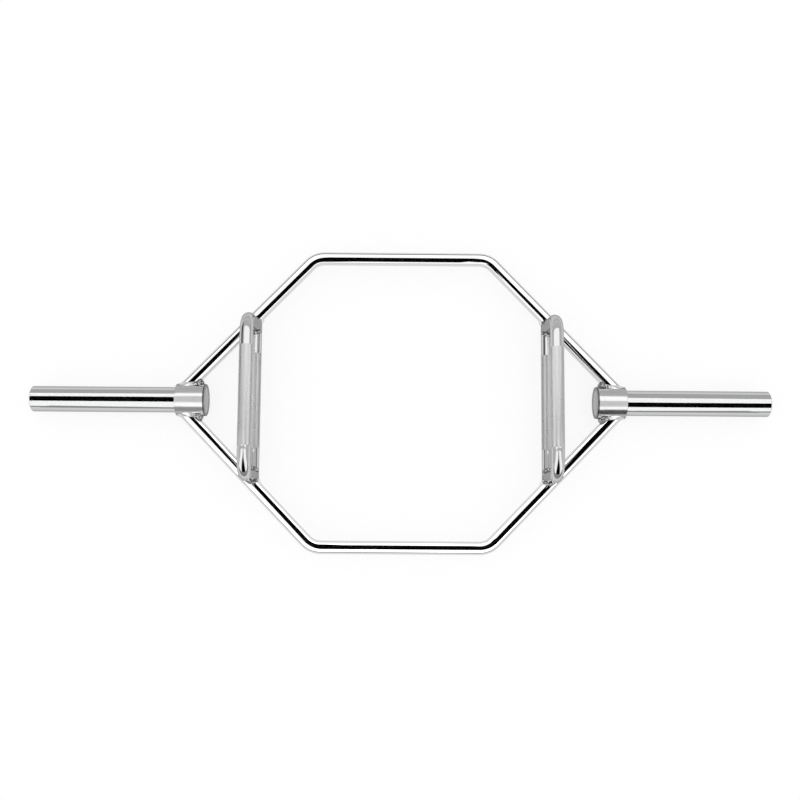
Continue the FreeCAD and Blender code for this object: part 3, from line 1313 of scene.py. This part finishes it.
class TRAPBAR_OT_handles(bpy.types.Operator):
    """Make the low and raised handles, with diamond knurling on their grips"""

    bl_idname = "trap_bar.handles"
    bl_label = "Handles"

    def execute(self, context):
        handle = context.scene.trap_bar_handle
        finish = context.scene.trap_bar_finish
        # The plain plating is darker than the frame's chrome, as painted shade
        plain = chrome_material("handle_chrome", finish.handle, FRAME_GRAIN, HARD_EDGE_TONE)
        knurl = knurl_material("handle_knurl", finish.knurl)
        tree = handle_tree(coping_tree())
        crossing = leg_crossing(context.scene.trap_bar_frame)
        _, direction = leg_line(context.scene.trap_bar_frame)
        radius = handle.diameter / 2
        rise = KNURL_RADIUS - radius
        riser_y = riser_place(handle)
        for side_name, side in SIDES.items():
            x = side * HANDLE_X
            shared = {
                "Bar Radius": radius,
                "Bend Radius": handle.bend_radius,
                "Ring Spacing": handle.knurl_step,
                "Sides": 2 * handle.knurl_count,
                "Knurl Half Length": knurl_half_length(handle),
                "Knurl Rise": rise,
                "Knurl Drop": handle.knurl_depth - rise,
                "Leg Radius": BAR_RADIUS,
                "Rear Leg Point": mirrored(crossing, side, 1),
                "Rear Leg Direction": mirrored(direction, side, 1),
                "Front Leg Point": mirrored(crossing, side, -1),
                "Front Leg Direction": mirrored(direction, side, -1),
                "Under Bar Point": (x, 0.0, AXIS_HEIGHT),
                "Material": plain,
                "Knurl Material": knurl,
            }
            low_path = [(x, -crossing.y, AXIS_HEIGHT), (x, crossing.y, AXIS_HEIGHT)]
            low = {"Rear Slide": -ACROSS_Y, "Front Slide": ACROSS_Y, "Under Bar Radius": 0.0}
            raised_path = [
                (x, -riser_y, FOOT_HEIGHT),
                (x, -riser_y, RAISED_HEIGHT),
                (x, riser_y, RAISED_HEIGHT),
                (x, riser_y, FOOT_HEIGHT),
            ]
            raised = {"Rear Slide": UPWARD, "Front Slide": UPWARD, "Under Bar Radius": radius}
            bars = (("_low_handle", low_path, low), ("_raised_handle", raised_path, raised))
            for node, path, own in bars:
                name = side_name + node
                seed = path_mesh(name + "_path", path)
                mesh = facing_out(grow(name + "_seed", seed, tree, {**shared, **own}))
                place_piece(name + "_bright", mesh, name)
        return {"FINISHED"}


# Welds

RAIL_POINTS = 180               # along each rail of a bead
CROTCH_CURVE = 1.75             # how late the hub bead widens towards the sharp corner
WELD_BITE = 0.0002              # the toes of a bead lie this far under the skin of the bars
WELD_ROOT = 0.002               # its root lies this far under the skin
TOE_TRIES = 24                  # steps in which a foot bead's toe is drawn back from a drop
TOE_RETREAT = 1.2               # how far it may be drawn back, against the bead's reach
HANDLE_BEAD_TOP = math.radians(31)        # ends of a bead beside a low handle, round the handle
HANDLE_BEAD_BOTTOM = math.radians(-46)
BEAD_STEP = 0.0003              # along a bead, between two rows of points
FLAT_BULGE = 0.1                # how far the face of a bead bows out, against its thickness
ROUND_BULGE = 0.35
UNSHADED = 0.0                     # least painted shade on a bead
FULLY_SHADED = 1.0


def rail_length(rail, closed):
    """Length of a line of points."""
    following = rail[1:] + rail[:1] if closed else rail[1:]
    return sum((after - before).length for before, after in zip(rail, following))


def hub_bead_rails(frame_sizes, welds):
    """Toes and root of the bead round the right rear leg at its hub."""
    aim, direction = leg_line(frame_sizes)
    inward = direction.cross(UPWARD)
    if inward.x > 0:
        inward = -inward
    on_axis = Vector((0, 0, AXIS_HEIGHT))

    def place(angle, leg_radius, hub_radius):
        around = inward * math.cos(angle) + UPWARD * math.sin(angle)
        return way_out(aim + around * leg_radius, direction, on_axis, ACROSS_X, hub_radius)

    leg_toe = []
    root = []
    hub_toe = []
    for step in range(RAIL_POINTS):
        angle = 2 * math.pi * step / RAIL_POINTS
        into_crotch = ((1 + math.cos(angle)) / 2) ** CROTCH_CURVE
        reach = welds.hub_bead * (1 + (welds.crotch_gain - 1) * into_crotch)
        leg_toe.append(place(angle, BAR_RADIUS - WELD_BITE, HUB_RADIUS + reach))
        root.append(place(angle, BAR_RADIUS - WELD_ROOT, HUB_RADIUS - WELD_ROOT))
        hub_toe.append(place(angle, BAR_RADIUS + reach, HUB_RADIUS - WELD_BITE))
    return leg_toe, root, hub_toe


def base_height(x, y, frame_sizes, handle):
    """Height of the top of the right rear leg, or of the low handle beside it, over a point."""
    aim, direction = leg_line(frame_sizes)
    radius = handle.diameter / 2
    point = Vector((x, y, AXIS_HEIGHT))
    from_leg = (point - aim - direction * (point - aim).dot(direction)).length
    leg_rise = math.sqrt(max(BAR_RADIUS ** 2 - from_leg ** 2, 0))
    handle_rise = math.sqrt(max(radius ** 2 - (x - HANDLE_X) ** 2, 0))
    return AXIS_HEIGHT + max(leg_rise, handle_rise)


def beside_riser(handle, angle, distance):
    """A place at a distance from the axis of the right rear riser, as (x, y)."""
    return HANDLE_X + distance * math.cos(angle), riser_place(handle) + distance * math.sin(angle)


def foot_bead_rails(frame_sizes, handle, welds):
    """Toes and root of the bead round the foot of the right rear riser."""
    radius = handle.diameter / 2
    reach = welds.foot_bead
    riser_toe = []
    root = []
    base_toe = []
    for step in range(RAIL_POINTS):
        angle = 2 * math.pi * step / RAIL_POINTS
        skin = beside_riser(handle, angle, radius - WELD_BITE)
        under_skin = beside_riser(handle, angle, radius - WELD_ROOT)
        seam = max(base_height(*skin, frame_sizes, handle), FOOT_HEIGHT)
        riser_toe.append(Vector((*skin, seam + reach)))
        root.append(Vector((*under_skin, seam - WELD_ROOT)))
        for number in range(TOE_TRIES):
            toe_reach = reach * (1 - number / TOE_TRIES * TOE_RETREAT)
            toe = beside_riser(handle, angle, radius + toe_reach)
            toe_height = base_height(*toe, frame_sizes, handle)
            if toe_height > seam - reach:
                break
        base_toe.append(Vector((*toe, toe_height - WELD_BITE)))
    return riser_toe, root, base_toe


def handle_bead_rails(frame_sizes, handle, welds, way):
    """Toes and root of the bead on one side of the right low handle's rear end."""
    crossing = leg_crossing(frame_sizes)
    _, direction = leg_line(frame_sizes)
    radius = handle.diameter / 2
    reach = welds.handle_bead

    def place(angle, handle_radius, leg_radius):
        around = Vector((way * math.cos(angle), 0, math.sin(angle))) * handle_radius
        shift = direction * (around.x / direction.x)
        start = Vector((crossing.x + around.x, crossing.y + shift.y, AXIS_HEIGHT + around.z))
        return way_out(start, -ACROSS_Y, crossing, direction, leg_radius)

    handle_toe = []
    root = []
    leg_toe = []
    for step in range(RAIL_POINTS):
        share = step / (RAIL_POINTS - 1)
        angle = HANDLE_BEAD_TOP + (HANDLE_BEAD_BOTTOM - HANDLE_BEAD_TOP) * share
        handle_toe.append(place(angle, radius - WELD_BITE, BAR_RADIUS + reach))
        root.append(place(angle, radius - WELD_ROOT, BAR_RADIUS - WELD_ROOT))
        leg_toe.append(place(angle, radius + reach, BAR_RADIUS - WELD_BITE))
    return handle_toe, root, leg_toe


def joined(name, meshes):
    """Several meshes of one finish as one."""
    if len(meshes) == 1:
        return meshes[0]
    shape = bmesh.new()
    for mesh in meshes:
        shape.from_mesh(mesh)
    whole = bpy.data.meshes.new(name + "_beads")
    shape.to_mesh(whole)
    shape.free()
    whole.materials.append(meshes[0].materials[0])
    return whole


def grow_bead(node, rails, closed, tree, welds, own):
    """One bead over its three rails."""
    length = rail_length(rails[0], closed)
    values = {
        "Steps": round(length / BEAD_STEP),
        "Ripples": float(round(length / welds.ripple_pitch)),
        "Ripple Height": welds.ripple_height,
        "Lump Height": welds.lump_height,
        "Open": 0.0 if closed else 1.0,
        **own,
    }
    seed = rails_mesh(node + "_rails", rails, closed)
    return facing_out(grow(node + "_seed", seed, tree, values))


class TRAPBAR_OT_welds(bpy.types.Operator):
    """Lay rippled weld beads round the legs, the risers' feet and the low handles' ends"""

    bl_idname = "trap_bar.welds"
    bl_label = "Welds"

    def execute(self, context):
        frame_sizes = context.scene.trap_bar_frame
        handle = context.scene.trap_bar_handle
        welds = context.scene.trap_bar_weld
        metal_finish = weld_material("weld_metal", context.scene.trap_bar_finish.weld)
        tree = bead_tree()
        beads = {
            "hub_weld": [(hub_bead_rails(frame_sizes, welds), True)],
            "foot_weld": [(foot_bead_rails(frame_sizes, handle, welds), True)],
            "low_handle_weld": [
                (handle_bead_rails(frame_sizes, handle, welds, 1), False),
                (handle_bead_rails(frame_sizes, handle, welds, -1), False),
            ],
        }
        bulge = {"hub_weld": FLAT_BULGE, "foot_weld": ROUND_BULGE, "low_handle_weld": ROUND_BULGE}
        # Foot and handle beads get painted shade all over, hub beads only in their sharp corner
        painted_shade = {"hub_weld": UNSHADED, "foot_weld": FULLY_SHADED, "low_handle_weld": FULLY_SHADED}
        seed_number = 0
        for bead_name, lines in beads.items():
            for side_name, side in SIDES.items():
                for end_name, end in ENDS.items():
                    node = side_name + "_" + end_name + "_" + bead_name
                    seed_number += 1
                    own = {
                        "Bulge": bulge[bead_name],
                        "Painted Shade": painted_shade[bead_name],
                        "Seed": float(seed_number),
                        "Material": metal_finish,
                    }
                    meshes = []
                    for rails, closed in lines:
                        turned = [[mirrored(point, side, end) for point in rail] for rail in rails]
                        meshes.append(grow_bead(node, turned, closed, tree, welds, own))
                    place_piece(node + "_bead", joined(node, meshes), node)
        for side_name in SIDES:
            hidden_ring = frame["nodes"][side_name + "_sleeve_root_weld"]
            hidden_ring.data.materials.clear()
            hidden_ring.data.materials.append(metal_finish)
        return {"FINISHED"}


# Stage

FLOOR_HALF = 6.0                # half the width of the floor
FLOOR_GLOW = 0.82               # brightness of the floor's own white, for the camera
FLOOR_SHADE = 0.16              # how much of the shadow it shows
FLOOR_IN_METAL = 0.75           # how bright its own white is in metal, against what the camera sees
STRIP_TOP = math.sin(math.radians(14))    # upper edge of the dim strip of wall, on a dome of radius one
STRIP_FULL = math.sin(math.radians(11))   # below this the strip is at its dimmest


def add_seen(tree):
    """One for rays from the camera, or seen in metal or through glass, and zero for the rest."""
    rays = add_node(tree, "ShaderNodeLightPath").outputs
    seen = calculate(tree, "MAXIMUM", rays["Is Camera Ray"], rays["Is Glossy Ray"])
    return calculate(tree, "MAXIMUM", seen, rays["Is Transmission Ray"])


def make_floor(stage):
    """A wide pale floor that looks white and keeps a soft shadow."""
    corners = [(-FLOOR_HALF, -FLOOR_HALF, 0), (FLOOR_HALF, -FLOOR_HALF, 0)]
    corners += [(FLOOR_HALF, FLOOR_HALF, 0), (-FLOOR_HALF, FLOOR_HALF, 0)]
    mesh = bpy.data.meshes.new("floor")
    mesh.from_pydata(corners, [], [(0, 1, 2, 3)])
    floor = bpy.data.objects.new("floor", mesh)
    bpy.context.scene.collection.objects.link(floor)

    material = bpy.data.materials.new("floor_white")
    material.use_nodes = True
    tree = material.node_tree
    tree.nodes.clear()
    pale = add_node(tree, "ShaderNodeBsdfDiffuse", {"Color": (*stage.floor, 1.0)})
    shade = add_node(tree, "ShaderNodeBsdfDiffuse", {"Color": grey(FLOOR_SHADE)})
    in_metal = add_node(tree, "ShaderNodeLightPath").outputs["Is Glossy Ray"]
    strength = calculate(tree, "MULTIPLY_ADD", in_metal, FLOOR_GLOW * (FLOOR_IN_METAL - 1), FLOOR_GLOW)
    glow = add_node(tree, "ShaderNodeEmission", {"Strength": strength})
    shown = add_node(tree, "ShaderNodeAddShader")
    tree.links.new(shade.outputs["BSDF"], shown.inputs[0])
    tree.links.new(glow.outputs["Emission"], shown.inputs[1])
    choice = add_node(tree, "ShaderNodeMixShader", {"Fac": add_seen(tree)})
    tree.links.new(pale.outputs["BSDF"], choice.inputs[1])
    tree.links.new(shown.outputs["Shader"], choice.inputs[2])
    surface = add_node(tree, "ShaderNodeOutputMaterial")
    tree.links.new(choice.outputs["Shader"], surface.inputs["Surface"])
    mesh.materials.append(material)
    return floor


def add_dome(tree, stage, way):
    """Brightness of the studio in a direction: soft light above, a dim strip of wall over the floor."""
    parts = add_node(tree, "ShaderNodeSeparateXYZ", {"Vector": way})
    light = add_node(
        tree,
        "ShaderNodeMapRange",
        {
            "Value": parts.outputs["Z"],
            "From Min": STRIP_FULL,
            "From Max": STRIP_TOP,
            "To Min": stage.horizon,
            "To Max": stage.softbox,
        },
    )
    return light.outputs["Result"]


def make_light(scene, stage):
    """A studio dome of soft light, white to the camera."""
    world = bpy.data.worlds.new("studio")
    world.use_nodes = True
    scene.world = world
    tree = world.node_tree
    tree.nodes.clear()
    way = add_node(tree, "ShaderNodeTexCoord").outputs["Generated"]
    light = add_dome(tree, stage, way)
    camera_ray = add_node(tree, "ShaderNodeLightPath").outputs["Is Camera Ray"]
    studio = add_node(tree, "ShaderNodeBackground", {"Color": grey(1.0), "Strength": light})
    white = add_node(tree, "ShaderNodeBackground", {"Color": grey(1.0), "Strength": 1.0})
    choice = add_node(tree, "ShaderNodeMixShader", {"Fac": camera_ray})
    tree.links.new(studio.outputs["Background"], choice.inputs[1])
    tree.links.new(white.outputs["Background"], choice.inputs[2])
    out = add_node(tree, "ShaderNodeOutputWorld")
    tree.links.new(choice.outputs["Shader"], out.inputs["Surface"])


# Groups of pieces that mirror the studio's cards in their own way

REAR_BAR = ("rear_frame_bar_bright",)
FRONT_BAR = ("front_frame_bar_bright",)
LEFT_SLEEVE = ("left_sleeve_bright",)
RIGHT_SLEEVE = ("right_sleeve_bright",)
LEFT_HUB = ("left_hub_barrel_satin",)
RIGHT_HUB = ("right_hub_barrel_satin",)
LEFT_LOW = ("left_low_handle_bright",)
LEFT_RAISED = ("left_raised_handle_bright",)
RIGHT_LOW = ("right_low_handle_bright",)
RIGHT_RAISED = ("right_raised_handle_bright",)
HANDLES = LEFT_LOW + LEFT_RAISED + RIGHT_LOW + RIGHT_RAISED

# The card overhead; the corners of level cards are given from left to right, and from front to rear
CARD_REACH = ((-2.7, -1.2), (2.7, -1.2), (2.7, 0.8), (-2.7, 0.8))

# Views for the bars, low over them, with a dark band
BAR_VIEW_HEIGHT = 0.10
BAR_REACH = (
    (-0.775, 0.0), (-0.27, -0.52), (0.27, -0.52), (0.775, 0.0), (0.27, 0.52), (-0.27, 0.52),
)
REAR_BAND = (
    (-0.47, 0.02), (-0.32, 0.18), (-0.28, 0.17), (-0.18, 0.275), (-0.145, 0.295), (0.145, 0.295),
    (0.18, 0.27), (0.285, 0.165), (0.44, 0.0), (0.32, -0.12), (0.17, 0.04), (0.225, 0.12),
    (0.135, 0.22), (0.12, 0.17), (-0.10, 0.17), (-0.19, 0.085), (-0.255, 0.12), (-0.41, -0.04),
)
FRONT_BAND = (
    (-0.45, 0.0), (-0.30, -0.155), (-0.195, -0.28), (-0.155, -0.315), (0.16, -0.315), (0.225, -0.30),
    (0.325, -0.19), (0.475, -0.015), (0.40, 0.06), (0.24, -0.10), (0.255, -0.13), (0.16, -0.235),
    (0.14, -0.225), (-0.115, -0.225), (-0.225, -0.10), (-0.385, 0.065),
)

# Views for the sleeves and hubs, with a dark or grey oblong
LEFT_REACH = ((-2.7, -1.2), (-0.3, -1.2), (-0.3, 0.8), (-2.7, 0.8))
RIGHT_REACH = ((0.3, -1.2), (2.7, -1.2), (2.7, 0.8), (0.3, 0.8))
LEFT_SLEEVE_BAND = ((-1.6, 0.24), (-0.45, 0.24), (-0.45, -0.28), (-1.6, -0.28))
RIGHT_SLEEVE_BAND = ((0.45, 0.03), (1.6, 0.03), (1.6, -0.54), (0.45, -0.54))
LEFT_HUB_BAND = ((-1.0, 0.26), (-0.35, 0.26), (-0.35, -0.26), (-1.0, -0.26))
RIGHT_HUB_BAND = ((0.35, 0.12), (1.0, 0.12), (1.0, -0.38), (0.35, -0.38))
HUB_BAND_GREY = 0.62

# Views for the handles, grey with lights and darks: inwards from the handle's axis, and front to rear
HANDLE_VIEW_HEIGHT = 0.25
HANDLE_GREY = 0.55
HANDLE_REACH = ((-1.1, -0.95), (0.55, -0.95), (0.55, 0.61), (-1.1, 0.61))
HANDLE_LIGHT = (
    (-0.05, 0.19), (0.16, 0.19), (0.16, 0.08), (0.09, -0.092), (0.03, -0.092), (-0.05, 0.08),
)
INNER_BEND_LIGHT = ((0.01, -0.095), (0.08, -0.095), (0.40, -0.35), (0.45, -0.80), (0.31, -0.80))
OUTER_BEND_LIGHT = tuple((-inward, y) for inward, y in INNER_BEND_LIGHT)
BEND_DARK = ((0.0, -0.10), (0.30, -0.80), (-0.30, -0.80))
OUTER_DARK = ((-1.0, 0.03), (-0.125, 0.03), (-0.125, 0.35), (-1.0, 0.35))
INNER_DARK = ((0.285, 0.03), (0.50, 0.03), (0.50, 0.35), (0.285, 0.35))

# The floor as the hubs see it
HUB_FLOOR_GREY = 0.35
HUB_FLOOR_REACH = ((-1.2, -0.9), (1.2, -0.9), (1.2, 0.9), (-1.2, 0.9))

# The walls: place from front to rear, top, and span from left to right. What each group mirrors in
# them: its span, the top and brightness of the grey, and whether the wall is lit above the grey.
REAR_SPAN = (-1.9, 1.9)
REAR_LEFT = (-1.9, 0.0)
REAR_RIGHT = (0.0, 1.9)
FRONT_SPAN = (-1.0, 1.0)
FRONT_LEFT = (-1.0, 0.0)
FRONT_RIGHT = (0.0, 1.0)
REAR_WALL = (0.62, 0.9, REAR_SPAN)
FRONT_WALL = (-0.60, 0.6, FRONT_SPAN)
IN_REAR_WALL = (
    (LEFT_SLEEVE, REAR_LEFT, 0.54, 0.47, True),
    (RIGHT_SLEEVE, REAR_RIGHT, 0.80, 0.47, True),
    (LEFT_HUB, REAR_LEFT, 0.74, 0.45, True),
    (RIGHT_HUB, REAR_RIGHT, 0.76, 0.45, True),
    (HANDLES, REAR_SPAN, 0.25, 0.55, False),
    (REAR_BAR, REAR_SPAN, 0.30, 0.12, False),
)
IN_FRONT_WALL = (
    (LEFT_HUB, FRONT_LEFT, 0.45, 0.28, True),
    (RIGHT_HUB, FRONT_RIGHT, 0.48, 0.05, True),
    (HANDLES, FRONT_SPAN, 0.25, 0.30, False),
    (REAR_BAR, FRONT_SPAN, 0.10, 0.345, False),
)
LAYER_STEP = 0.002              # between the views of two groups
OBLONG = range(4)               # corners of a card, and of a second one in the same mesh
SECOND_OBLONG = range(4, 8)


def beside_handle(side_name, outline):
    """An outline given inwards from a handle's axis, as a place on the stage."""
    return tuple((SIDES[side_name] * (HANDLE_X - inward), y) for inward, y in outline)


def overhead_views(stage):
    """What each group mirrors overhead: pieces, height, reach, brightness, and patches in it."""
    views = [
        (REAR_BAR, BAR_VIEW_HEIGHT, BAR_REACH, stage.softbox, [(REAR_BAND, 0.0)]),
        (FRONT_BAR, BAR_VIEW_HEIGHT, BAR_REACH, stage.softbox, [(FRONT_BAND, 0.0)]),
        (LEFT_SLEEVE, stage.card_height, LEFT_REACH, None, [(LEFT_SLEEVE_BAND, 0.0)]),
        (RIGHT_SLEEVE, stage.card_height, RIGHT_REACH, None, [(RIGHT_SLEEVE_BAND, 0.0)]),
        (LEFT_HUB, stage.card_height, LEFT_REACH, None, [(LEFT_HUB_BAND, HUB_BAND_GREY)]),
        (RIGHT_HUB, stage.card_height, RIGHT_REACH, None, [(RIGHT_HUB_BAND, HUB_BAND_GREY)]),
    ]
    bend = [(INNER_BEND_LIGHT, stage.softbox), (OUTER_BEND_LIGHT, stage.softbox), (BEND_DARK, 0.0)]
    for pieces, side_name, patches in (
        (LEFT_LOW, "left", []),
        (LEFT_RAISED, "left", [*bend, (OUTER_DARK, 0.0)]),
        (RIGHT_LOW, "right", [(INNER_DARK, 0.0)]),
        (RIGHT_RAISED, "right", bend),
    ):
        patches = [(HANDLE_LIGHT, stage.softbox), *patches]
        placed = [(beside_handle(side_name, outline), brightness) for outline, brightness in patches]
        reach = beside_handle(side_name, HANDLE_REACH)
        views.append((pieces, HANDLE_VIEW_HEIGHT, reach, HANDLE_GREY, placed))
    return views


def at_height(outline, height):
    """The corners of a level card."""
    return [Vector((x, y, height)) for x, y in outline]


def upright(span, depth, bottom, top):
    """The corners of an upright card."""
    left, right = span
    corners = ((left, bottom), (right, bottom), (right, top), (left, top))
    return [Vector((x, depth, z)) for x, z in corners]


def glow_material(name, stage, brightness=None, clear=False):
    """Plain light of one brightness, or as bright as the dome there; clear light hides nothing."""
    material = bpy.data.materials.new(name)
    material.use_nodes = True
    tree = material.node_tree
    tree.nodes.clear()
    if brightness is None:
        place = add_node(tree, "ShaderNodeTexCoord").outputs["Object"]
        brightness = add_dome(tree, stage, combine(tree, "NORMALIZE", place))
    shown = add_node(tree, "ShaderNodeEmission", {"Strength": brightness}).outputs["Emission"]
    if clear:
        both = add_node(tree, "ShaderNodeAddShader")
        tree.links.new(shown, both.inputs[0])
        tree.links.new(add_node(tree, "ShaderNodeBsdfTransparent").outputs["BSDF"], both.inputs[1])
        shown = both.outputs["Shader"]
    surface = add_node(tree, "ShaderNodeOutputMaterial")
    tree.links.new(shown, surface.inputs["Surface"])
    return material


def light_pieces(source, pieces, state):
    """Let the glow of a card or floor reach only those pieces, or all but them."""
    lit = bpy.data.collections.new(source.name + "_lights")
    for number, piece in enumerate(dict.fromkeys(pieces)):
        lit.objects.link(bpy.data.objects[piece])
        lit.collection_objects[number].light_linking.link_state = state
    source.light_linking.receiver_collection = lit


def make_card(name, points, faces, pieces, state):
    """A flat card, seen only as a reflection, whose light reaches only those pieces or all but them."""
    mesh = bpy.data.meshes.new(name)
    mesh.from_pydata(points, [], [tuple(corners) for corners, _ in faces])
    for number, (_, material) in enumerate(faces):
        if material.name not in mesh.materials:
            mesh.materials.append(material)
        mesh.polygons[number].material_index = mesh.materials.find(material.name)
    card = bpy.data.objects.new(name, mesh)
    bpy.context.scene.collection.objects.link(card)
    card.visible_camera = False
    card.visible_diffuse = False
    card.visible_shadow = False
    light_pieces(card, pieces, state)


def make_cards(stage):
    """The floor for the hubs, the card overhead and the walls, with each group's own view of them."""
    views = overhead_views(stage)
    white = glow_material("dome_glow", stage)
    clear_white = glow_material("clear_dome_glow", stage, clear=True)
    with_own_view = [piece for pieces, *_ in views for piece in pieces]
    hub_floor = glow_material("hub_floor", stage, HUB_FLOOR_GREY, clear=True)
    hub_floor_points = at_height(HUB_FLOOR_REACH, LAYER_STEP)
    make_card("hub_floor", hub_floor_points, [(OBLONG, hub_floor)], LEFT_HUB + RIGHT_HUB, "INCLUDE")
    card_points = at_height(CARD_REACH, stage.card_height)
    make_card("card", card_points, [(OBLONG, white)], with_own_view, "EXCLUDE")
    for number, view in enumerate(views):
        make_overhead_view(stage, number, view, clear_white)
    make_wall(stage, "rear_wall", REAR_WALL, IN_REAR_WALL, white, clear_white)
    make_wall(stage, "front_wall", FRONT_WALL, IN_FRONT_WALL, white, clear_white)


def make_overhead_view(stage, number, view, clear_white):
    """What one group mirrors overhead: a card with patches of other brightness set into it."""
    pieces, height, reach, brightness, patches = view
    name = "view_" + str(number)
    around = clear_white
    if brightness is not None:
        around = glow_material(name, stage, brightness, clear=True)
    outlines = [at_height(outline, height - number * LAYER_STEP) for outline, _ in patches]
    rings = [at_height(reach, height - number * LAYER_STEP), *outlines]
    points = [point for ring in rings for point in ring]
    faces = [(corners, around) for corners in tessellate_polygon(rings)]
    first = len(reach)
    for outline, (_, patch_brightness) in zip(outlines, patches):
        patch = glow_material(name + "_patch", stage, patch_brightness, clear=True)
        faces.append((range(first, first + len(outline)), patch))
        first += len(outline)
    make_card(name, points, faces, pieces, "INCLUDE")


def make_wall(stage, wall_name, wall, wall_views, white, clear_white):
    """A wall, and in front of it what each group mirrors instead of it."""
    depth, top, whole_span = wall
    own_wall = [piece for pieces, *_ in wall_views for piece in pieces]
    make_card(wall_name, upright(whole_span, depth, 0, top), [(OBLONG, white)], own_wall, "EXCLUDE")
    for number, (pieces, span, grey_top, brightness, lit_above) in enumerate(wall_views, 1):
        name = wall_name + "_view_" + str(number)
        nearer = depth - math.copysign(number * LAYER_STEP, depth)
        points = upright(span, nearer, 0, grey_top)
        faces = [(OBLONG, glow_material(name, stage, brightness, clear=True))]
        if lit_above:
            points += upright(span, nearer, grey_top, top)
            faces.append((SECOND_OBLONG, clear_white))
        make_card(name, points, faces, pieces, "INCLUDE")


def make_camera(scene, stage):
    """The camera above the bar, looking almost straight down."""
    camera = bpy.data.objects.new("camera", bpy.data.cameras.new("camera"))
    scene.collection.objects.link(camera)
    camera.location = stage.camera_place
    camera.rotation_mode = "ZYX"
    camera.rotation_euler = stage.camera_turn
    camera.data.lens = stage.lens
    scene.camera = camera


class TRAPBAR_OT_stage(bpy.types.Operator):
    """Lay the floor, light the studio and set up the camera"""

    bl_idname = "trap_bar.stage"
    bl_label = "Stage"

    def execute(self, context):
        stage = context.scene.trap_bar_stage
        floor = make_floor(stage)
        light_pieces(floor, LEFT_HUB + RIGHT_HUB, "EXCLUDE")
        make_light(context.scene, stage)
        make_cards(stage)
        make_camera(context.scene, stage)
        context.scene.view_settings.view_transform = "Standard"
        return {"FINISHED"}


# Panel

SIZE_GROUPS = {
    "trap_bar_frame": TrapBarFrameSizes,
    "trap_bar_hub": TrapBarHubSizes,
    "trap_bar_handle": TrapBarHandleSizes,
    "trap_bar_weld": TrapBarWeldSizes,
    "trap_bar_finish": TrapBarFinish,
    "trap_bar_stage": TrapBarStage,
}
OPERATORS = (
    TRAPBAR_OT_frame_bars,
    TRAPBAR_OT_sleeves,
    TRAPBAR_OT_hubs,
    TRAPBAR_OT_handles,
    TRAPBAR_OT_welds,
    TRAPBAR_OT_stage,
)


class TRAPBAR_PT_panel(bpy.types.Panel):
    """Steps that build the trap bar, and its sizes"""

    bl_idname = "TRAPBAR_PT_panel"
    bl_label = "Hex Trap Bar"
    bl_space_type = "VIEW_3D"
    bl_region_type = "UI"
    bl_category = "Trap Bar"

    def draw(self, context):
        for operator in OPERATORS:
            self.layout.operator(operator.bl_idname)
        for scene_name in SIZE_GROUPS:
            group = getattr(context.scene, scene_name)
            box = self.layout.box()
            for size_name in type(group).__annotations__:
                box.prop(group, size_name)


def register():
    """Make the sizes, steps and panel known to Blender."""
    for scene_name, group in SIZE_GROUPS.items():
        bpy.utils.register_class(group)
        setattr(bpy.types.Scene, scene_name, PointerProperty(type=group))
    for operator in OPERATORS:
        bpy.utils.register_class(operator)
    bpy.utils.register_class(TRAPBAR_PT_panel)


def unregister():
    """Take them away again."""
    bpy.utils.unregister_class(TRAPBAR_PT_panel)
    for operator in reversed(OPERATORS):
        bpy.utils.unregister_class(operator)
    for scene_name, group in reversed(SIZE_GROUPS.items()):
        delattr(bpy.types.Scene, scene_name)
        bpy.utils.unregister_class(group)


def main():
    """Build every piece and the stage."""
    register()
    bpy.ops.trap_bar.frame_bars()
    bpy.ops.trap_bar.sleeves()
    bpy.ops.trap_bar.hubs()
    bpy.ops.trap_bar.handles()
    bpy.ops.trap_bar.welds()
    bpy.ops.trap_bar.stage()


if __name__ == "__main__":
    main()
